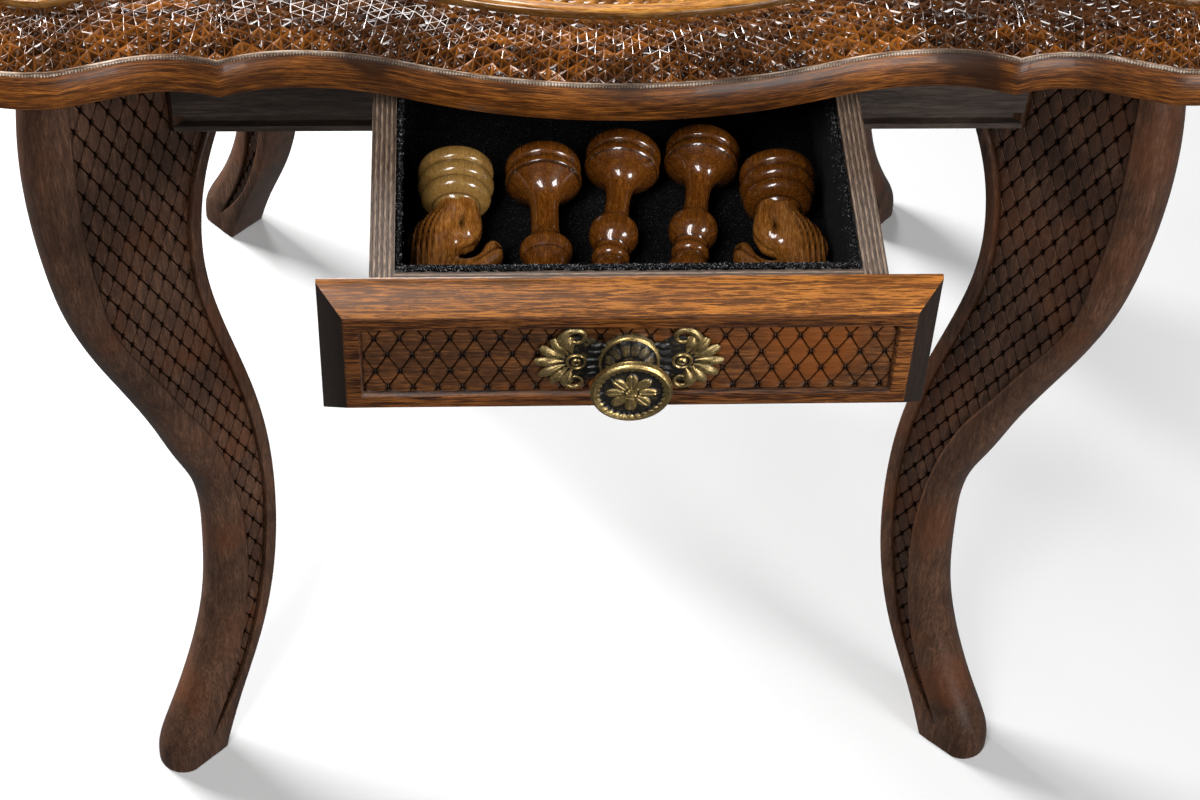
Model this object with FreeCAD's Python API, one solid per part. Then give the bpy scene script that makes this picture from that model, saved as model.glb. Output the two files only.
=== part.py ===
import FreeCAD, Part
import math
import os

# Carved chess table with cabriole legs, aprons and two opposite drawers.
# Millimetres. Origin on the floor under the middle of the top, +Z up.
# The front drawer faces -Y and is modelled pulled open; the rear one is shut.

V = FreeCAD.Vector
X_AXIS = V(1, 0, 0)
Y_AXIS = V(0, 1, 0)
Z_AXIS = V(0, 0, 1)
ORIGIN = V(0, 0, 0)
ROOT_2 = math.sqrt(2)

# Table top
TOP_UNDERSIDE_Z = 735.0
TOP_SURFACE_Z = 766.0
OVOLO_RADIUS = 8.0
LOBE_CENTRE = 300.0
LOBE_RADIUS = 108.0
CREASE = (288.0, -407.3)
BOW_FRONT = (0.0, -418.0)
BOW_END = (112.0, -400.1)
HOLLOW_ARCS = [((112.0, -400.1), (140.0, -393.3), (168.0, -391.1)),
               ((168.0, -391.1), (189.0, -393.3), (207.0, -399.0)),
               ((207.0, -399.0), (232.0, -394.0), (256.0, -397.3))]
ROPE_INSET = 44.0
ROPE_WIDTH = 24.0
ROPE_HEIGHT = 6.0
PANEL_THICKNESS = 4.0
VENEER = 1.0
SQUARE = 50.0
SQUARES_PER_SIDE = 8
JOINT_GAP = 0.1
BORDER_WIDTH = 15.0
VENEER_BOTTOM_Z = TOP_SURFACE_Z - VENEER
PANEL_BOTTOM_Z = VENEER_BOTTOM_Z - PANEL_THICKNESS

# Legs: profiles as (distance from the table's centre along the diagonal, height)
LEG_THICKNESS = 37.0
LEG_ROUND = 16.0
LEG_INNER = [(389, 0), (375, 36), (345.5, 101), (327, 169), (321, 235), (323, 299), (332, 356),
             (350, 430), (359.5, 487), (358.5, 524), (348.5, 566), (330, 604)]
LEG_INNER_TOP_R = 330.0
LEG_OUTER = [(446, 735), (456, 680), (463, 635), (464.5, 590), (461, 540), (455, 501), (442.5, 456),
             (421.5, 403), (400, 348), (387, 310), (375, 277), (370, 249), (370, 214), (372, 182),
             (377.5, 144), (394.5, 93), (418, 48), (433, 16), (434, 0)]
RECESS_DEPTH = 4.5
RECESS_INNER = [(402, 22), (380, 51), (357, 95), (337, 168), (329.5, 240), (332, 300), (341, 356),
                (359, 430), (368, 487), (367, 524), (357.5, 566), (343, 596)]
RECESS_SHOULDER_R = 371.5
RECESS_SHOULDER_Z = 603.0
RECESS_OUTER = [(434, 735), (441, 660), (443.5, 597), (443, 558), (439.5, 524), (435, 488), (423, 452),
                (405, 413), (387, 372), (374, 344), (365, 318), (358, 290), (352, 250), (350, 210),
                (354, 156), (366, 100), (384, 56), (402, 22)]

# Aprons
APRON_FACE = 276.0
APRON_THICKNESS = 20.0
APRON_BOTTOM_Z = 604.0
GROOVE_BOTTOM_Z = 608.0
GROOVE_TOP_Z = 616.0
GROOVE_DEPTH = 5.0
CUT_HALF_WIDTH = 131.5
CUT_BOTTOM_Z = 638.0
CUT_TOP_Z = 718.5

# Corner blocks and the fasteners in them
BLOCK_INNER_R = 288.0
BLOCK_BOTTOM_Z = 655.0
BOLT_HEIGHTS = (678.0, 714.0)
BOLT_RADIUS = 4.0
BOLT_START_R = 277.0
BOLT_END_R = 395.0
NUT_ACROSS_FLATS = 13.0
NUT_THICKNESS = 6.5
FASTENER_GAP = 0.05
SCREW_RADIUS = 2.5
SCREW_HEAD_RADIUS = 5.0
SCREW_HEAD_THICKNESS = 3.0
SCREW_SEAT_Z = 700.0
SCREW_TOP_Z = 753.0
SCREW_OFFSET = 28.0
COUNTERBORE_RADIUS = 6.0

# Runners, kickers and stop
RUNNER_HALF_LENGTH = APRON_FACE - APRON_THICKNESS
GUIDE_INNER_X = 130.0
RUNNER_OUTER_X = 142.0
RUNNER_INNER_X = 105.0
RUNNER_TOP_Z = 639.5
RUNNER_BOTTOM_Z = 628.0
GUIDE_TOP_Z = 665.0
KICKER_INNER_X = 118.0
KICKER_BOTTOM_Z = 717.0
STOP_HALF_THICKNESS = 6.0
STOP_TOP_Z = 660.0

# Drawers, modelled shut at the front and then moved
DRAWER_TRAVEL = 240.8
DRAWER_GAP = 0.2
FRONT_WIDTH = 310.0
FRONT_BOTTOM_Z = 632.0
FRONT_HEIGHT = 90.0
FRONT_THICKNESS = 16.0
FRONT_CHAMFER = 13.0
FIELD_WIDTH = 269.0
FIELD_HEIGHT = 48.0
FIELD_DEPTH = 3.0
BOX_WIDTH = 258.5
BOX_LENGTH = 268.0
BOX_BOTTOM_Z = 640.0
BOX_TOP_Z = 716.0
BOX_WALL = 12.5
PLY_BOTTOM_Z = 645.0
PLY_THICKNESS = 5.0
PLY_TONGUE = 4.0
LINING = 2.0
LINING_TOP_Z = 713.5

# Drawer pull
PULL_Z = FRONT_BOTTOM_Z + FRONT_HEIGHT / 2
SHELL_RADIUS = 21.0
SHELL_OFFSET = 26.0
PLATE_THICKNESS = 3.0
HUB_RADIUS = 16.0
HUB_HEIGHT = 7.0
KNOB_STEM_RADIUS = 6.5
KNOB_RADIUS = 20.0
KNOB_THICKNESS = 5.0
KNOB_STANDOFF = 22.0
PULL_BOLT_RADIUS = 2.0
PULL_BOLT_HEAD_RADIUS = 4.0
PULL_BOLT_HEAD = 2.5
PULL_SCREW_RADIUS = 1.2
PULL_SCREW_HEAD_RADIUS = 2.6
PULL_SCREW_HEAD = 1.2
PULL_SCREW_LENGTH = 9.0
FACE_SCREW_X = 90.0
FACE_SCREW_Z = (664.0, 700.0)
FACE_SCREW_RADIUS = 1.8
FACE_SCREW_HEAD_RADIUS = 3.6
FACE_SCREW_LENGTH = 18.0

# Chess pieces: turned profiles as (distance from the foot, radius)
PIECE_BASE_RADIUS = 20.5
KNIGHT_BASE = [(0, 20.5), (7, 20.5), (9, 17.5), (11, 20), (16, 20), (18, 16), (20, 18.5), (24, 18.5),
               (27, 12), (34, 10.5)]
ROOK_PROFILE = [(0, 18.5), (3, 20.5), (8, 20.5), (9.5, 18.5), (14, 20.5), (17, 19.5), (26, 14.5),
                (36, 8.5), (44, 7.5), (54, 8.5), (60, 12.5), (63, 14), (66, 13), (69, 11.5), (82, 11.5)]
BISHOP_PROFILE = [(0, 18.5), (3, 20.5), (8, 20.5), (16, 20), (24, 16.5), (31, 10), (38, 8.3), (50, 8.3),
                  (53, 11), (58, 13.2), (63, 13.2), (68, 11), (71, 8.3), (74, 8.6), (76, 10), (79, 8),
                  (86, 11.5), (93, 12), (100, 9), (105, 4), (108, 2.5)]
KNIGHT_HEAD = [(26, -10), (30, -15), (42, -22), (54, -25), (68, -23), (80, -17), (88, -8), (87, 0),
               (80, 3), (77, 9), (72, 16), (66, 24), (59, 24), (57, 17), (58, 9), (52, 12), (44, 15),
               (34, 13), (26, 10)]
KNIGHT_HEAD_THICKNESS = 18.0
FELT_CLEARANCE = 0.15
# name: (kind, x of the foot, y of the foot, turn towards -X in degrees, facing)
PIECE_PLACES = {
    "knight_left": ("knight", -86.0, -385.0, 0.0, 1),
    "rook": ("rook", -39.0, -382.0, 0.0, 1),
    "bishop_left": ("bishop", 5.5, -373.0, 8.0, 1),
    "bishop_right": ("bishop", 49.0, -370.0, 9.0, 1),
    "knight_right": ("knight", 87.5, -388.5, 3.0, -1),
}


def box(x0, x1, y0, y1, z0, z1):
    """Box between two corners."""
    return Part.makeBox(x1 - x0, y1 - y0, z1 - z0, V(x0, y0, z0))


def turned(shape, degrees):
    """Copy of a shape turned about the table's vertical axis."""
    copy = shape.copy()
    copy.rotate(ORIGIN, Z_AXIS, degrees)
    return copy


def moved(shape, x=0.0, y=0.0, z=0.0):
    """Copy of a shape shifted by the given distances."""
    copy = shape.copy()
    copy.translate(V(x, y, z))
    return copy


def mirrored(shape):
    """Copy of a shape mirrored left to right."""
    return shape.mirror(ORIGIN, X_AXIS)


def flat_prism(points, z0, z1):
    """Upright prism on a plan polygon."""
    corners = [V(x, y, z0) for x, y in points]
    wire = Part.makePolygon(corners + corners[:1])
    return Part.Face(wire).extrude(V(0, 0, z1 - z0))


def cylinder(radius, start, direction, length):
    """Round bar from a start point along a direction."""
    return Part.makeCylinder(radius, length, start, direction)


def spline(points):
    """Smooth curve through 3-D points."""
    curve = Part.BSplineCurve()
    curve.interpolate(points)
    return curve.toShape()


# ---- Table top ----

def plan_arc(points):
    """Arc in plan through three points."""
    start, middle, end = [V(x, y, 0) for x, y in points]
    return Part.Arc(start, middle, end).toShape()


def outline_side():
    """One quarter of the scalloped outline: bow, hollows, creases and a corner lobe."""
    x, y = CREASE
    flank = [plan_arc(arc) for arc in HOLLOW_ARCS]
    flank.append(Part.makeLine(V(*HOLLOW_ARCS[-1][2], 0), V(x, y, 0)))
    left_flank = [edge.mirror(ORIGIN, X_AXIS) for edge in flank]
    bow = plan_arc([(-BOW_END[0], BOW_END[1]), BOW_FRONT, BOW_END])
    reach = LOBE_CENTRE + LOBE_RADIUS / ROOT_2
    lobe = plan_arc([CREASE, (reach, -reach), (-y, -x)])
    return left_flank + [bow] + flank + [lobe]


def outline_wire(inset=0.0):
    """Closed outline of the top, moved inwards by an inset."""
    edges = [turned(edge, 90 * quarter) for quarter in range(4) for edge in outline_side()]
    wire = Part.Wire(Part.__sortEdges__(edges))
    if inset:
        wire = wire.makeOffset2D(-inset)
    return wire


def outline_slab(inset, z0, z1):
    """Slab with the shape of the top's outline."""
    slab = Part.Face(outline_wire(inset)).extrude(V(0, 0, z1 - z0))
    return moved(slab, z=z0)


def board_half():
    """Half the width of the squares together."""
    return SQUARE * SQUARES_PER_SIDE / 2


def make_top():
    """Slab with a rounded upper edge, an inlay pocket and screw holes."""
    slab = outline_slab(0.0, TOP_UNDERSIDE_Z, TOP_SURFACE_Z)
    rim = [e for e in slab.Edges if e.BoundBox.ZMin > TOP_SURFACE_Z - 0.01]
    slab = slab.makeFillet(OVOLO_RADIUS, rim)
    pocket = board_half() + BORDER_WIDTH
    slab = slab.cut(box(-pocket, pocket, -pocket, pocket, PANEL_BOTTOM_Z, TOP_SURFACE_Z + 1))
    return slab.cut(Part.makeCompound(top_screw_holes()))


def make_rope_frame():
    """Raised moulding that follows the outline inside the carved border."""
    z1 = TOP_SURFACE_Z + ROPE_HEIGHT
    outer = outline_slab(ROPE_INSET, TOP_SURFACE_Z, z1)
    inner = outline_slab(ROPE_INSET + ROPE_WIDTH, TOP_SURFACE_Z - 1, z1 + 1)
    return outer.cut(inner)


def make_board_panel():
    """Board let into the top, which carries the chess veneers."""
    half = board_half() + BORDER_WIDTH
    return box(-half, half, -half, half, PANEL_BOTTOM_Z, VENEER_BOTTOM_Z)


def make_board_border():
    """Veneer strip around the chess squares."""
    inner = board_half()
    outer = inner + BORDER_WIDTH
    ring = box(-outer, outer, -outer, outer, VENEER_BOTTOM_Z, TOP_SURFACE_Z)
    return ring.cut(box(-inner, inner, -inner, inner, VENEER_BOTTOM_Z - 1, TOP_SURFACE_Z + 1))


def make_squares(parity):
    """Every second square of the board, as separate veneers."""
    half_gap = JOINT_GAP / 2
    tiles = []
    for column in range(SQUARES_PER_SIDE):
        for row in range(SQUARES_PER_SIDE):
            if (column + row) % 2 != parity:
                continue
            x = column * SQUARE - board_half()
            y = row * SQUARE - board_half()
            tiles.append(box(x + half_gap, x + SQUARE - half_gap,
                             y + half_gap, y + SQUARE - half_gap, VENEER_BOTTOM_Z, TOP_SURFACE_Z))
    return Part.makeCompound(tiles)


# ---- Legs, made along +X and turned onto their diagonal ----

DIAGONALS = {"front_left": 225.0, "front_right": 315.0, "rear_right": 45.0, "rear_left": 135.0}


def profile_face(edges, y):
    """Face in the leg's upright plane, at a distance from its middle."""
    return moved(Part.Face(Part.Wire(edges)), y=y)


def upright(points):
    """Profile points as vectors in the leg's upright plane."""
    return [V(r, 0, z) for r, z in points]


def leg_blank():
    """S-shaped plank with a rounded outer edge."""
    inner = upright(LEG_INNER)
    outer = upright(LEG_OUTER)
    top_inner = V(LEG_INNER_TOP_R, 0, TOP_UNDERSIDE_Z)
    edges = [spline(inner),
             Part.makeLine(inner[-1], top_inner),
             Part.makeLine(top_inner, outer[0]),
             spline(outer),
             Part.makeLine(outer[-1], inner[0])]
    blank = profile_face(edges, -LEG_THICKNESS / 2).extrude(V(0, LEG_THICKNESS, 0))
    return blank.makeFillet(LEG_ROUND, [e for e in blank.Edges if is_outer_edge(e)])


def is_outer_edge(edge):
    """True for the two long edges along the outer face of a leg."""
    bounds = edge.BoundBox
    return bounds.YLength < 0.01 and bounds.XMax > 460 and bounds.ZLength > 700


def leg_recess():
    """Shallow field cut into one side face of a leg."""
    inner = upright(RECESS_INNER)
    outer = upright(RECESS_OUTER)
    shoulder = V(RECESS_SHOULDER_R, 0, RECESS_SHOULDER_Z)
    top_inner = V(RECESS_SHOULDER_R, 0, TOP_UNDERSIDE_Z)
    edges = [spline(inner),
             Part.makeLine(inner[-1], shoulder),
             Part.makeLine(shoulder, top_inner),
             Part.makeLine(top_inner, outer[0]),
             spline(outer)]
    return profile_face(edges, LEG_THICKNESS / 2 - RECESS_DEPTH).extrude(V(0, RECESS_DEPTH + 1, 0))


def leg_bolt_bars(extra_radius):
    """Bars along the leg bolts, in the leg's own direction."""
    length = BOLT_END_R - BOLT_START_R
    return [cylinder(BOLT_RADIUS + extra_radius, V(BOLT_START_R, 0, z), X_AXIS, length)
            for z in BOLT_HEIGHTS]


def make_leg():
    """Leg along +X with both carved fields and its bolt holes."""
    recess = leg_recess()
    leg = leg_blank().cut(recess).cut(recess.mirror(ORIGIN, Y_AXIS))
    return leg.cut(Part.makeCompound(leg_bolt_bars(FASTENER_GAP)))


# ---- Aprons and corner blocks ----

def make_plain_apron():
    """Apron on the front side, mitred onto the legs' side faces, with its groove."""
    step = LEG_THICKNESS / ROOT_2
    back = APRON_FACE - APRON_THICKNESS
    plan = [(-(APRON_FACE - step), -APRON_FACE), (APRON_FACE - step, -APRON_FACE),
            (back - step, -back), (-(back - step), -back)]
    board = flat_prism(plan, APRON_BOTTOM_Z, TOP_UNDERSIDE_Z)
    groove = box(-APRON_FACE, APRON_FACE, -APRON_FACE - 1, -APRON_FACE + GROOVE_DEPTH,
                 GROOVE_BOTTOM_Z, GROOVE_TOP_Z)
    return board.cut(groove)


def make_drawer_apron():
    """Front apron with the drawer's opening."""
    opening = box(-CUT_HALF_WIDTH, CUT_HALF_WIDTH, -APRON_FACE - 1, -APRON_FACE + APRON_THICKNESS + 1,
                  CUT_BOTTOM_Z, CUT_TOP_Z)
    return make_plain_apron().cut(opening)


def make_corner_block():
    """Glue block behind a leg, along +X before it is turned onto a diagonal."""
    back = APRON_FACE - APRON_THICKNESS
    near = LEG_INNER_TOP_R
    spread_outer = back * ROOT_2 - near
    spread_inner = back * ROOT_2 - BLOCK_INNER_R
    plan = [(near, -spread_outer), (near, spread_outer),
            (BLOCK_INNER_R, spread_inner), (BLOCK_INNER_R, -spread_inner)]
    block = flat_prism(plan, BLOCK_BOTTOM_Z, TOP_UNDERSIDE_Z)
    block = block.cut(Part.makeCompound(leg_bolt_bars(FASTENER_GAP)))
    return block.cut(Part.makeCompound(block_screw_bars(FASTENER_GAP, COUNTERBORE_RADIUS)))


def block_screw_points():
    """Plan positions of the two screws in a block along +X."""
    r = (BLOCK_INNER_R + LEG_INNER_TOP_R) / 2
    return [(r, -SCREW_OFFSET), (r, SCREW_OFFSET)]


def block_screw_bars(extra_radius, bore_radius):
    """Shank holes and counterbores for the screws of a block along +X."""
    bars = []
    for x, y in block_screw_points():
        shank = cylinder(SCREW_RADIUS + extra_radius, V(x, y, SCREW_SEAT_Z), Z_AXIS,
                         SCREW_TOP_Z + 1 - SCREW_SEAT_Z)
        bore = cylinder(bore_radius, V(x, y, BLOCK_BOTTOM_Z - 1), Z_AXIS, SCREW_SEAT_Z - BLOCK_BOTTOM_Z + 1)
        bars.append(bore.fuse(shank))
    return bars


def top_screw_holes():
    """Screw holes in the underside of the top, on all four diagonals."""
    bars = block_screw_bars(FASTENER_GAP, SCREW_RADIUS + FASTENER_GAP)
    return [turned(bar, angle) for angle in DIAGONALS.values() for bar in bars]


def make_top_screws():
    """Screws that hold the corner blocks to the top."""
    screws = []
    for angle in DIAGONALS.values():
        for x, y in block_screw_points():
            shank = cylinder(SCREW_RADIUS, V(x, y, SCREW_SEAT_Z), Z_AXIS, SCREW_TOP_Z - SCREW_SEAT_Z)
            head = cylinder(SCREW_HEAD_RADIUS, V(x, y, SCREW_SEAT_Z - SCREW_HEAD_THICKNESS), Z_AXIS,
                            SCREW_HEAD_THICKNESS)
            screws.append(turned(head.fuse(shank), angle))
    return Part.makeCompound(screws)


def make_leg_bolts():
    """Threaded rods through the corner blocks into the legs."""
    return Part.makeCompound([turned(bar, angle) for angle in DIAGONALS.values()
                              for bar in leg_bolt_bars(0.0)])


def make_leg_nuts():
    """Hexagon nuts against the corner blocks."""
    reach = NUT_ACROSS_FLATS / math.sqrt(3)
    nuts = []
    for z in BOLT_HEIGHTS:
        corners = [V(BLOCK_INNER_R, reach * math.cos(math.radians(60 * i)),
                     z + reach * math.sin(math.radians(60 * i))) for i in range(6)]
        hexagon = Part.Face(Part.makePolygon(corners + corners[:1]))
        nut = hexagon.extrude(V(-NUT_THICKNESS, 0, 0))
        bore = cylinder(BOLT_RADIUS + FASTENER_GAP, V(BLOCK_INNER_R + 1, 0, z), V(-1, 0, 0),
                        NUT_THICKNESS + 2)
        nuts.append(nut.cut(bore))
    return Part.makeCompound([turned(nut, angle) for angle in DIAGONALS.values() for nut in nuts])


# ---- Drawer track ----

def make_runner():
    """L-shaped rail on the right that carries and guides both drawers."""
    y = RUNNER_HALF_LENGTH
    shelf = box(RUNNER_INNER_X, RUNNER_OUTER_X, -y, y, RUNNER_BOTTOM_Z, RUNNER_TOP_Z)
    guide = box(GUIDE_INNER_X, RUNNER_OUTER_X, -y, y, RUNNER_TOP_Z - 1, GUIDE_TOP_Z)
    return shelf.fuse(guide).removeSplitter()


def make_kicker():
    """Strip on the right that keeps an open drawer from tipping."""
    y = RUNNER_HALF_LENGTH
    return box(KICKER_INNER_X, RUNNER_OUTER_X, -y, y, KICKER_BOTTOM_Z, TOP_UNDERSIDE_Z)


def make_drawer_stop():
    """Bar between the runners that both drawers close against."""
    return box(-GUIDE_INNER_X, GUIDE_INNER_X, -STOP_HALF_THICKNESS, STOP_HALF_THICKNESS,
               RUNNER_TOP_Z, STOP_TOP_Z)


# ---- Drawer, shut behind the front apron ----

FRONT_BACK_Y = -APRON_FACE - DRAWER_GAP
FRONT_FACE_Y = FRONT_BACK_Y - FRONT_THICKNESS
FIELD_Y = FRONT_FACE_Y + FIELD_DEPTH
PLATE_Y = FIELD_Y - PLATE_THICKNESS
KNOB_BACK_Y = PLATE_Y - KNOB_STANDOFF + KNOB_THICKNESS
BOX_END_Y = FRONT_BACK_Y + BOX_LENGTH
INNER_FRONT_Y = FRONT_BACK_Y + BOX_WALL


def pull_bolt_hole():
    """Hole for the bolt that holds the knob, with room for its head."""
    radius = PULL_BOLT_RADIUS + FASTENER_GAP
    tip = KNOB_BACK_Y + 0.5
    bar = cylinder(radius, V(0, tip, PULL_Z), Y_AXIS, INNER_FRONT_Y - tip)
    seat = INNER_FRONT_Y - PULL_BOLT_HEAD
    head = cylinder(PULL_BOLT_HEAD_RADIUS + FASTENER_GAP, V(0, seat, PULL_Z), Y_AXIS, PULL_BOLT_HEAD + 1)
    return bar.fuse(head)


def face_screw_points():
    """Positions across the drawer front of the four screws behind it."""
    return [(x, z) for x in (-FACE_SCREW_X, FACE_SCREW_X) for z in FACE_SCREW_Z]


def face_screw_bars(extra_radius):
    """Screws from the inner front into the drawer front."""
    bars = []
    seat = INNER_FRONT_Y - PULL_BOLT_HEAD
    for x, z in face_screw_points():
        shank = cylinder(FACE_SCREW_RADIUS + extra_radius, V(x, seat, z), -Y_AXIS, FACE_SCREW_LENGTH)
        head = cylinder(FACE_SCREW_HEAD_RADIUS + extra_radius, V(x, seat, z), Y_AXIS, PULL_BOLT_HEAD)
        bars.append(shank.fuse(head))
    return bars


def pull_screw_bars(extra_radius):
    """Small screws through the shells of the backplate."""
    bars = []
    for x in (-SHELL_OFFSET, SHELL_OFFSET):
        shank = cylinder(PULL_SCREW_RADIUS + extra_radius, V(x, PLATE_Y, PULL_Z), Y_AXIS,
                         PULL_SCREW_LENGTH)
        head = cylinder(PULL_SCREW_HEAD_RADIUS, V(x, PLATE_Y, PULL_Z), -Y_AXIS, PULL_SCREW_HEAD)
        bars.append(shank.fuse(head))
    return bars


def make_drawer_front():
    """Chamfered board with a sunk field on its face."""
    x = FRONT_WIDTH / 2
    board = box(-x, x, FRONT_FACE_Y, FRONT_BACK_Y, FRONT_BOTTOM_Z, FRONT_BOTTOM_Z + FRONT_HEIGHT)
    board = board.makeChamfer(FRONT_CHAMFER, [e for e in board.Edges
                                              if e.BoundBox.YMax < FRONT_FACE_Y + 0.01])
    field = box(-FIELD_WIDTH / 2, FIELD_WIDTH / 2, FRONT_FACE_Y - 1, FIELD_Y,
                PULL_Z - FIELD_HEIGHT / 2, PULL_Z + FIELD_HEIGHT / 2)
    holes = [pull_bolt_hole()] + face_screw_bars(FASTENER_GAP) + pull_screw_bars(FASTENER_GAP)
    return board.cut(field).cut(Part.makeCompound(holes))


def ply_bottom_box(gap):
    """Drawer bottom, grown by a gap on every side for its grooves."""
    x = BOX_WIDTH / 2 - BOX_WALL + PLY_TONGUE + gap
    inset = BOX_WALL - PLY_TONGUE - gap
    return box(-x, x, FRONT_BACK_Y + inset, BOX_END_Y - inset,
               PLY_BOTTOM_Z - gap, PLY_BOTTOM_Z + PLY_THICKNESS + gap)


def make_drawer_side():
    """Right side of the drawer, grooved for the bottom."""
    x = BOX_WIDTH / 2
    side = box(x - BOX_WALL, x, FRONT_BACK_Y, BOX_END_Y, BOX_BOTTOM_Z, BOX_TOP_Z)
    return side.cut(ply_bottom_box(FASTENER_GAP))


def make_drawer_end(y):
    """Cross wall of the drawer box that starts at a depth."""
    x = BOX_WIDTH / 2 - BOX_WALL
    end = box(-x, x, y, y + BOX_WALL, BOX_BOTTOM_Z, BOX_TOP_Z)
    return end.cut(ply_bottom_box(FASTENER_GAP))


def make_inner_front():
    """Cross wall behind the drawer front, bored for the fasteners."""
    holes = [pull_bolt_hole()] + face_screw_bars(FASTENER_GAP)
    return make_drawer_end(FRONT_BACK_Y).cut(Part.makeCompound(holes))


def make_lining():
    """Felt tray over the floor and the walls of the drawer."""
    x = BOX_WIDTH / 2 - BOX_WALL
    y0 = INNER_FRONT_Y
    y1 = BOX_END_Y - BOX_WALL
    floor_z = PLY_BOTTOM_Z + PLY_THICKNESS + FASTENER_GAP
    tray = box(-x, x, y0, y1, floor_z, LINING_TOP_Z)
    return tray.cut(box(-x + LINING, x - LINING, y0 + LINING, y1 - LINING,
                        floor_z + LINING, LINING_TOP_Z + 1))


def make_backplate():
    """Brass plate with two round ends and a raised hub."""
    plate = box(-SHELL_OFFSET, SHELL_OFFSET, PLATE_Y, FIELD_Y,
                PULL_Z - HUB_RADIUS * 0.7, PULL_Z + HUB_RADIUS * 0.7)
    for x in (-SHELL_OFFSET, SHELL_OFFSET):
        plate = plate.fuse(cylinder(SHELL_RADIUS, V(x, PLATE_Y, PULL_Z), Y_AXIS, PLATE_THICKNESS))
    hub = Part.makeCone(HUB_RADIUS, KNOB_STEM_RADIUS + 3, HUB_HEIGHT, V(0, PLATE_Y, PULL_Z), -Y_AXIS)
    holes = [pull_bolt_hole()] + pull_screw_bars(FASTENER_GAP)
    return plate.fuse(hub).removeSplitter().cut(Part.makeCompound(holes))


def make_knob():
    """Short stem with a coin-shaped disc, bored for its bolt."""
    stem_y = PLATE_Y - HUB_HEIGHT
    stem = cylinder(KNOB_STEM_RADIUS, V(0, stem_y, PULL_Z), -Y_AXIS, stem_y - KNOB_BACK_Y)
    disc = cylinder(KNOB_RADIUS, V(0, KNOB_BACK_Y, PULL_Z), -Y_AXIS, KNOB_THICKNESS)
    disc = disc.makeFillet(1.0, [e for e in disc.Edges if len(e.Vertexes) == 1])
    return stem.fuse(disc).removeSplitter().cut(pull_bolt_hole())


def make_pull_bolt():
    """Machine screw from inside the drawer into the knob."""
    seat = INNER_FRONT_Y - PULL_BOLT_HEAD
    tip = KNOB_BACK_Y + 1.0
    shank = cylinder(PULL_BOLT_RADIUS, V(0, tip, PULL_Z), Y_AXIS, seat - tip)
    head = cylinder(PULL_BOLT_HEAD_RADIUS, V(0, seat, PULL_Z), Y_AXIS, PULL_BOLT_HEAD)
    return shank.fuse(head)


def drawer_parts():
    """All pieces of one drawer, shut behind the front apron."""
    side = make_drawer_side()
    return {
        "drawer_front": make_drawer_front(),
        "drawer_left_side": mirrored(side),
        "drawer_right_side": side,
        "drawer_inner_front": make_inner_front(),
        "drawer_back": make_drawer_end(BOX_END_Y - BOX_WALL),
        "drawer_bottom": ply_bottom_box(0.0),
        "drawer_lining": make_lining(),
        "pull_backplate": make_backplate(),
        "pull_knob": make_knob(),
        "pull_bolt": make_pull_bolt(),
        "pull_screws": Part.makeCompound(pull_screw_bars(0.0)),
        "front_screws": Part.makeCompound(face_screw_bars(0.0)),
    }


# ---- Chess pieces, made upright on +Z and laid in the front drawer ----

def turned_solid(profile):
    """Solid of revolution about +Z from a profile of (height, radius)."""
    points = [V(0, 0, profile[0][0])]
    points += [V(radius, 0, height) for height, radius in profile]
    points.append(V(0, 0, profile[-1][0]))
    face = Part.Face(Part.makePolygon(points + points[:1]))
    return face.revolve(ORIGIN, Z_AXIS, 360)


def make_knight(facing):
    """Ringed foot with a flat horse's head that faces +X or -X."""
    points = [V(facing * across, 0, height) for height, across in KNIGHT_HEAD]
    curve = Part.BSplineCurve()
    curve.interpolate(points)
    closing = Part.makeLine(points[-1], points[0])
    face = Part.Face(Part.Wire([curve.toShape(), closing]))
    head = moved(face, y=-KNIGHT_HEAD_THICKNESS / 2).extrude(V(0, KNIGHT_HEAD_THICKNESS, 0))
    return turned_solid(KNIGHT_BASE).fuse(head).removeSplitter()


def make_piece(kind, facing):
    """Upright chess piece and the radius and height at which its far end rests."""
    if kind == "knight":
        return make_knight(facing), KNIGHT_HEAD_THICKNESS / 2, 70.0
    if kind == "rook":
        return turned_solid(ROOK_PROFILE), 14.0, 63.0
    return turned_solid(BISHOP_PROFILE), 13.2, 63.0


def lay_down(piece, end_radius, end_height, place):
    """Piece lying on the felt with its foot away from the drawer front."""
    _, x, y, swing, _ = place
    tilt = math.degrees(math.asin((PIECE_BASE_RADIUS - end_radius) / end_height))
    laid = piece.copy()
    laid.rotate(ORIGIN, X_AXIS, 90 + tilt)
    laid.rotate(ORIGIN, Z_AXIS, -swing)
    felt_z = PLY_BOTTOM_Z + PLY_THICKNESS + FASTENER_GAP + LINING
    lowest = laid.optimalBoundingBox(True).ZMin
    return moved(laid, x, y, felt_z + FELT_CLEARANCE - lowest)


def chess_parts():
    """The pieces lying in the open drawer."""
    pieces = {}
    for name, place in PIECE_PLACES.items():
        shape, end_radius, end_height = make_piece(place[0], place[4])
        pieces["chess_" + name] = lay_down(shape, end_radius, end_height, place)
    return pieces


# ---- Whole table ----

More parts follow.
